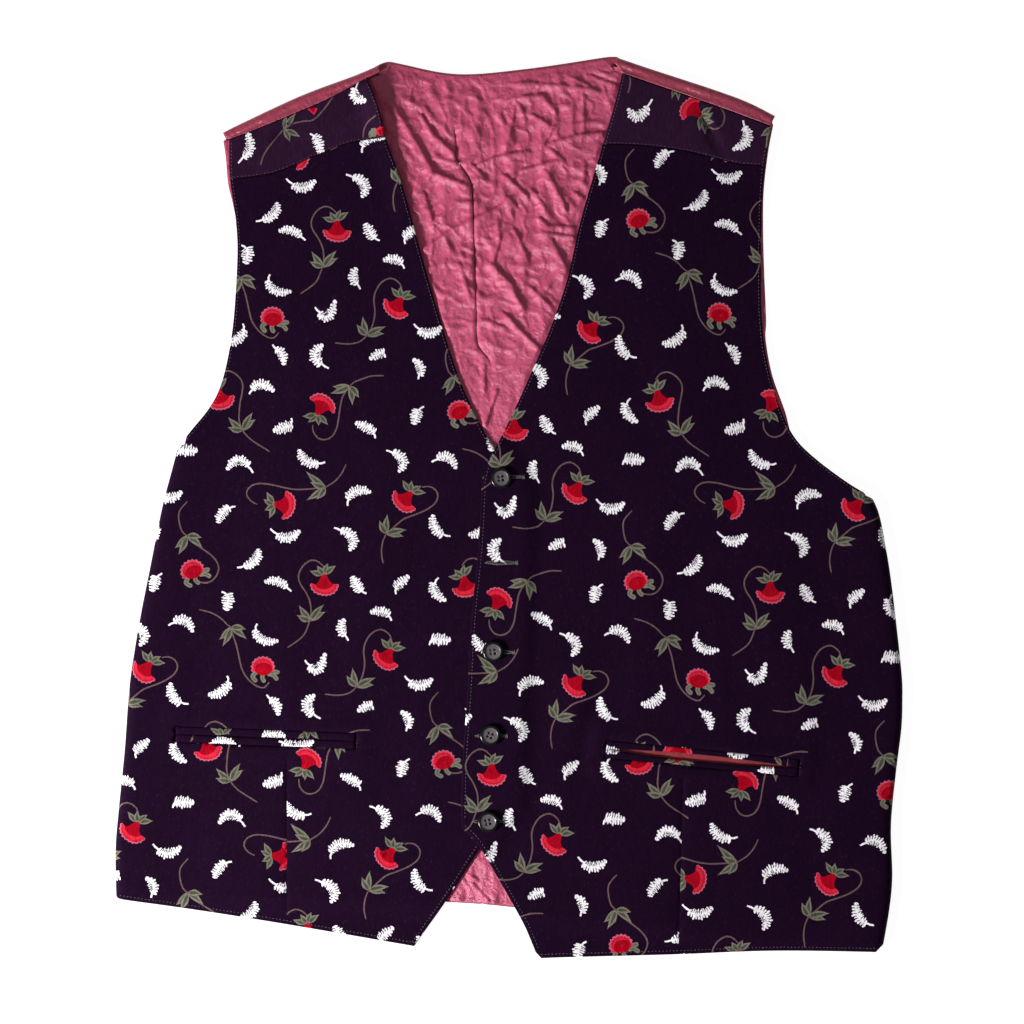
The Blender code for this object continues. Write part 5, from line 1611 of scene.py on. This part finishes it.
def add_front(side, materials):
    """A printed front and its yoke, cut from one outline."""
    whole = front_outline(side, side_end(side, FINE), FINE)
    yoke, body = parted(whole, edge(side, "yoke seam", FINE), 0)
    holes = [pocket_window(pocket, 0) for pocket in POCKETS if pocket["side"] == side]
    if side == "right":
        holes += [buttonhole_slit(*hole) for hole in BUTTONHOLES]
    for name, outline, cuts, shapes, ground in (
            (f"front_{side}", body, holes, repeated_print(side), "ground"),
            (f"yoke_{side}", yoke, [], bit_shapes(YOKE_BITS[side]), "yoke ground")):
        inner = [seeds(outline, FRONT_STEP, 1.5), rings(outline, (0.6, 1.5, 2.4))]
        if cuts:
            inner.append(dart_points())
        inner = np.concatenate(inner)
        inner = inner[outside_distance(inner, outline) < -0.3]
        for cut in cuts:
            inner = inner[outside_distance(inner, cut) > 0.3]
        flat, faces, ink = triangulated(outline, cuts, touching(shapes, outline), inner)
        obj = add_mesh(f"{name}_cloth", rolled(flat, HEIGHTS[side], side), faces, materials)
        paint(obj, ink, ground)
        add_wall(obj, FRONT_WALL, rim_points(flat, outline))
        declare(obj, [name])


def lip_edge(pocket, along):
    """How far a lip's folded edge stands from the middle of the slit."""
    half_length = pocket["length"] / 2 - GAP
    reach = np.where(along < pocket["widest"], half_length + pocket["widest"], half_length - pocket["widest"])
    return GAP / 2 + pocket["gape"] / 2 * (1 - ((along - pocket["widest"]) / reach) ** 2)


def add_lip(pocket, which, materials, shapes):
    """One folded lip of a pocket: straight where it is sewn in, round and bowed where the slit gapes."""
    name = f"pocket_{pocket['side']}"
    half_length, half_height = pocket["length"] / 2 - GAP, pocket["height"] / 2 - GAP
    along = np.linspace(-half_length, half_length, 71)
    sign = 1 if which == "upper" else -1
    slit = lip_edge(pocket, along)
    turn = pocket_turn(pocket)
    middle = np.array([pocket["x"], pocket["y"]])
    local = np.concatenate([np.column_stack([along, slit * sign]),
                            np.column_stack([along, np.full(len(along), half_height * sign)])[::-1]])
    if which == "lower":
        local = local[::-1]
    outline = local @ turn + middle
    rows = [np.column_stack([along[1:-1], (slit + (half_height - slit) * share)[1:-1] * sign]) @ turn + middle
            for share in LIP_ROWS]
    flat, faces, ink = triangulated(outline, [], touching(shapes, outline), np.concatenate(rows))
    run, across = pocket_frame(flat, pocket)
    from_fold = np.clip((abs(across) - lip_edge(pocket, run)) / LIP_ROUND_REACH, 0, 1)
    rounding = LIP_ROUND * (1 - np.sqrt(np.clip(1 - (1 - from_fold) ** 2, 0, 1)))
    dip = LIP_DIP * np.exp(-((half_height - abs(across)) / LIP_DIP_REACH) ** 2)
    z = HEIGHTS[pocket["side"]](flat) + (LIP_WALL - FRONT_WALL) / 2 + LIP_PROUD - rounding - dip
    obj = add_mesh(f"{name}_{which}_lip_cloth", np.column_stack([flat, z]), faces, materials)
    paint(obj, ink, "ground")
    add_wall(obj, LIP_WALL, rim_points(flat, outline))
    declare(obj, [f"{name}_{which}_lip"])


def add_pockets(printed, pocket_lining):
    lining_mid = BACK_WALL + LINING_WALL + 2 * GAP + POCKET_WALL / 2
    for pocket in POCKETS:
        side = pocket["side"]
        outline = pocket_window(pocket, POCKET_LINING_MARGIN)
        flat, faces, _ = triangulated(outline, [], [], seeds(outline, 2.2, 1.0))
        run, across = pocket_frame(flat, pocket)
        sunk = 0.25 * grain(flat, 7, 6.1) * ease((pocket["length"] / 2 - abs(run)) / 8)
        seam = -0.3 * np.exp(-(((run - 0.5) / 0.8) ** 2))
        points = np.column_stack([flat, lining_mid + (sunk + seam) * ease((5 - abs(across)) / 3)])
        obj = add_mesh(f"pocket_{side}_lining_cloth", points, faces, pocket_lining)
        add_wall(obj, POCKET_WALL)
        declare(obj, [f"pocket_{side}_lining"])
        shapes = bit_shapes(LIP_BITS[side])
        for which in ("upper", "lower"):
            add_lip(pocket, which, printed, shapes)


# Stitching


def stitch_tube(starts, ends, radius, bulge):
    """Points and faces of short threads with five sides from starts to ends, each lifted in its middle."""
    along = ends - starts
    along /= np.maximum(np.linalg.norm(along, axis=1), 1e-9)[:, None]
    sideways = np.cross(along, [0, 0, 1.0])
    sideways /= np.maximum(np.linalg.norm(sideways, axis=1), 1e-9)[:, None]
    upwards = np.cross(sideways, along)
    made = []
    for share, size in ((0.0, 0.5), (0.5, 1.0), (1.0, 0.5)):
        middle = starts + (ends - starts) * share + [0, 0, bulge * 4 * share * (1 - share)]
        for angle in [2 * math.pi * k / 5 for k in range(5)]:
            spoke = sideways * math.cos(angle) + upwards * math.sin(angle)
            made.append(middle + radius * size * spoke)
    points = np.stack(made, axis=1).reshape(-1, 3)
    one = [(r + k, r + (k + 1) % 5, r + 5 + (k + 1) % 5, r + 5 + k) for r in (0, 5) for k in range(5)]
    one += [(4, 3, 2, 1, 0), (10, 11, 12, 13, 14)]
    return points, [tuple(15 * n + i for i in face) for n in range(len(starts)) for face in one]


def dashes(line, stitch, gap):
    """Start and end points of running stitches along a line."""
    distance = travelled(line)
    count = max(1, int(distance[-1] // (stitch + gap)))
    starts = np.arange(count) * (stitch + gap)
    at = [np.stack([np.interp(starts + extra, distance, line[:, k]) for k in range(2)], axis=1)
          for extra in (0, stitch)]
    return at[0], at[1]


def add_threads(name, ends, material, radius, bulge):
    """Threads between pairs of points, given as two lists of starts and ends for each group."""
    starts, stops = [np.concatenate(points) for points in zip(*ends)]
    points, faces = stitch_tube(starts, stops, radius, bulge)
    declare(add_mesh(name, points, faces, [material]), [])


def on_cloth(ends, height, lift):
    """The two ends of threads, laid on a cloth."""
    return [np.column_stack([flat, height(flat) + lift]) for flat in ends]


def topstitching(side, material):
    """Running stitches just inside the edges of a front, and finer ones along its yoke seam."""
    threads = []
    for stitched in STITCHED:
        line = shifted(edge(side, stitched["edge"], FINE), stitched[side] * INWARD[side])
        threads.append(on_cloth(dashes(line, *EDGE_STITCH), HEIGHTS[side], FRONT_WALL / 2 - 0.05))
    seam = shifted(edge(side, "yoke seam", FINE), 0.8)
    threads.append(on_cloth(dashes(seam, *SEAM_STITCH), HEIGHTS[side], FRONT_WALL / 2 - 0.08))
    add_threads(f"topstitching_{side}", threads, material, radius=0.15, bulge=0.1)


def buttonhole_threads(material):
    """The worked edge of each buttonhole: two cords round the slit, threads across and a bar at its right
    end.
    """
    half = BUTTONHOLE_LENGTH / 2
    around = np.linspace(0, 2 * math.pi, 49)
    x = np.arange(-half + 0.6, half, 1.15)
    bow = np.sqrt(1 - (x / (half + 0.6)) ** 2)
    bar = np.array([[half + 0.2, -1.7], [half + 0.8, -1.5], [half - 0.4, 1.5], [half + 0.9, 1.6]])
    laid = []
    for number, middle in enumerate(np.array(BUTTONHOLES, float)):
        ripple = 0.12 * np.sin(around * 5 + number)
        for reach, rise in ((0.75, 0.7), (1.6, 1.45)):
            wide, high = (half + reach * 0.4) * np.cos(around), rise * np.sin(around) * 0.9 + ripple
            loop = middle + np.stack([wide, high], axis=1)
            laid.append((loop[:-1], loop[1:], 0.0))
        for sign in (1, -1):
            near = middle + np.stack([x, sign * 0.6 * bow], axis=1)
            far = near + np.stack([np.full(len(x), 0.35), sign * 0.75 * bow], axis=1)
            laid.append((near, far, 0.05))
        laid.append((middle + bar, middle + bar * [1, -1] + [0.5, 0], 0.1))
    threads = [on_cloth((a, b), right_height, FRONT_WALL / 2 + lift) for a, b, lift in laid]
    add_threads("buttonhole_threads", threads, material, radius=0.14, bulge=0.1)


def pocket_threads(material):
    """Small tacks across one end of each pocket."""
    threads = []
    for pocket in POCKETS:
        across = np.arange(-pocket["height"] / 2 + 1.5, pocket["height"] / 2 - 1, 2.6)
        x = np.full(len(across), pocket["length"] / 2 + 0.5)
        ends = [np.column_stack([x + reach, across]) @ pocket_turn(pocket) + [pocket["x"], pocket["y"]]
                for reach in (-0.3, 0.3)]
        threads.append(on_cloth(ends, HEIGHTS[pocket["side"]], FRONT_WALL / 2))
    add_threads("pocket_threads", threads, material, radius=0.12, bulge=0.08)


def lining_threads(material):
    """The stitches that hold the lining to the hem and the neck of the back."""
    hem = shifted(smooth(BACK_HEM, FINE), 3.4)
    hem = hem[open_lining(hem) > 0.5]
    neck = shifted(smooth(BACK_NECK, FINE), -NECK_ROLL - 0.3)
    on_roll = NECK_TOP + BACK_WALL / 2 - 0.05
    threads = [on_cloth(dashes(hem, *HEM_STITCH), lining_height, LINING_WALL / 2 + 0.12),
               [np.column_stack([flat, np.full(len(flat), on_roll)]) for flat in dashes(neck, *NECK_STITCH)]]
    add_threads("lining_threads", threads, material, radius=0.22, bulge=0.1)


# Buttons


def button_holes():
    """The outlines of the four holes."""
    reach = BUTTON_HOLE_PITCH / math.sqrt(2)
    around = np.linspace(0, 2 * math.pi, 16, endpoint=False)
    return [np.column_stack([reach * math.cos(t) + BUTTON_HOLE_RADIUS * np.cos(around),
                             reach * math.sin(t) + BUTTON_HOLE_RADIUS * np.sin(around)])
            for t in np.radians([45, 135, 225, 315])]


def seat_height(button):
    """The height of the cloth under a button, as the solids have it."""
    rim = np.array([(button["x"] + r * math.cos(a), button["y"] + r * math.sin(a))
                    for r in (0, 3, 6, BUTTON_RADIUS) for a in np.radians(np.arange(0, 360, 30))])
    return float((front_height(rim) + lap_height(rim)).max()) + FRONT_WALL / 2


def button_place(button):
    """Where a button sits and how it leans."""
    tilt, toward = math.radians(button["tilt"]), math.radians(button["toward"])
    foot_radius, foot_height = BUTTON_BASE[1]
    lift = GAP - foot_height + foot_radius * math.sin(tilt)
    lean = Quaternion((-math.sin(toward), math.cos(toward), 0), tilt)
    turn = lean @ Quaternion((0, 0, 1), math.radians(button["turn"]))
    return np.array(turn.to_matrix()), np.array([button["x"], button["y"], seat_height(button) + lift])


def add_button(number, button, materials, thread):
    """A four-hole button with a raised rim, its thread and the shank of thread under it."""
    holes = button_holes()
    middles = [hole.mean(axis=0) for hole in holes]
    around = np.linspace(0, 2 * math.pi, BUTTON_SEGMENTS, endpoint=False)
    circle = np.column_stack([np.cos(around), np.sin(around)])
    outline = BUTTON_RADIUS * circle
    collars = [middle + (hole - middle) * 1.22 for hole, middle in zip(holes, middles)]
    inner = np.concatenate([*[r * circle for r in BUTTON_RINGS], seeds(outline, 0.6, 4.1), *collars])
    for hole in holes:
        inner = inner[outside_distance(inner, hole) > 0.12]
    flat, faces, _ = triangulated(outline, holes, [], inner)
    radius = np.linalg.norm(flat, axis=1)
    top = np.interp(radius, *np.array(BUTTON_PROFILE).T)
    base = np.interp(radius, *np.array(BUTTON_BASE).T)
    from_hole = np.min([np.linalg.norm(flat - middle, axis=1) for middle in middles], axis=0)
    top -= 0.16 * (1 - ease((from_hole - BUTTON_HOLE_RADIUS) / 0.25))
    n = len(flat)
    points = np.concatenate([np.column_stack([flat, top]), np.column_stack([flat, base])])
    sides = dict.fromkeys((int(a), int(b)) for face in faces for a, b in zip(face, np.roll(face, -1)))
    border = [(a, b) for a, b in sides if (b, a) not in sides]
    all_faces = [tuple(f) for f in faces] + [tuple(int(i) + n for i in f[::-1]) for f in faces]
    all_faces += [(b, a, a + n, b + n) for a, b in border]
    turn, place = button_place(button)
    obj = add_mesh(f"button_{number}_detailed", points @ turn.T + place, all_faces, materials)
    far = np.array([max(np.linalg.norm(points[list(face)][:, :2], axis=1)) for face in all_faces])
    obj.data.polygons.foreach_set("material_index", (far > BUTTON_FACE_RADIUS).astype(int).tolist())
    declare(obj, [f"button_{number}"])
    ends = [([*(middles[row] + [0, y]), 1.7], [*(middles[row + 1] + [0, y]), 1.7])
            for row in (0, 2) for y in (-0.28, 0, 0.28)]
    for t in np.radians(np.arange(0, 360, 36)):
        ends.append(((1.3 * math.cos(t), 1.3 * math.sin(t), 0.5),
                     (1.5 * math.cos(t + 0.3), 1.5 * math.sin(t + 0.3), -1.0)))
    starts, stops = (np.array(p) @ turn.T + place for p in zip(*ends))
    points, faces = stitch_tube(starts, stops, 0.22, 0.45)
    declare(add_mesh(f"button_{number}_thread", points, faces, [thread]), [])


# The floor, the light and the camera


def add_lamp(lamp):
    data = bpy.data.lights.new(lamp["name"], "AREA")
    data.size = lamp["width"]
    data.energy = lamp["power"]
    obj = bpy.data.objects.new(lamp["name"], data)
    obj.location = lamp["place"]
    obj.rotation_mode = "QUATERNION"
    obj.rotation_quaternion = (-Vector(lamp["place"])).to_track_quat("-Z", "Y")
    bpy.context.scene.collection.objects.link(obj)


def add_surroundings():
    scene = bpy.context.scene
    floor = bpy.data.meshes.new("floor")
    floor.from_pydata([(x * FLOOR_REACH, y * FLOOR_REACH, FLOOR) for x, y in CORNERS], [], [(0, 1, 2, 3)])
    floor.materials.append(glowing_floor_material())
    plane = bpy.data.objects.new("floor", floor)
    scene.collection.objects.link(plane)

    for lamp in LAMPS:
        add_lamp(lamp)
    scene.world = bpy.data.worlds.new("studio")
    scene.world.use_nodes = True
    background = scene.world.node_tree.nodes["Background"]
    background.inputs["Color"].default_value = (1, 1, 1, 1)
    background.inputs["Strength"].default_value = SKY
    scene.view_settings.view_transform = "Standard"

    camera = bpy.data.objects.new("camera", bpy.data.cameras.new("camera"))
    camera.data.lens = LENS
    camera.data.sensor_width = SENSOR
    camera.location = (0.0021, -0.0028, PICTURE_WIDTH * LENS / SENSOR + 0.004)
    scene.collection.objects.link(camera)
    scene.camera = camera


def build():
    for obj in list(bpy.data.objects):
        bpy.data.objects.remove(obj)
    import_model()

    printed = printed_material()
    lining = satin_material("lining", (194, 77, 112), 0.42, 0.14, 0.06, 2.2)
    inner_lining = satin_material("front lining", (190, 76, 110), 0.45, 0.06, 0.08)
    satin = satin_material("satin back", (158, 56, 80), 0.38, 0.1, 0.08, 1.5)
    pocket_satin = satin_material("pocket lining", (138, 8, 30), 0.55, 0.14, 0.0)
    thread = thread_material("thread", (116, 117, 110))
    dark_thread = thread_material("dark thread", (72, 18, 36))
    button_thread = thread_material("button thread", (14, 9, 14))
    button_face = button_material("button face", (62, 57, 61), (108, 99, 105), 0.34)
    button_rim = button_material("button rim", (5, 4, 6), (10, 9, 11), 0.24)

    add_back([satin])
    add_lining([lining])
    for side in SIDES:
        add_front(side, [printed, inner_lining])
    add_pockets([printed], [pocket_satin])
    for side in SIDES:
        topstitching(side, thread)
    buttonhole_threads(thread)
    pocket_threads(thread)
    lining_threads(dark_thread)
    for number, button in enumerate(BUTTONS, 1):
        add_button(number, button, [button_face, button_rim], button_thread)
    add_surroundings()


build()
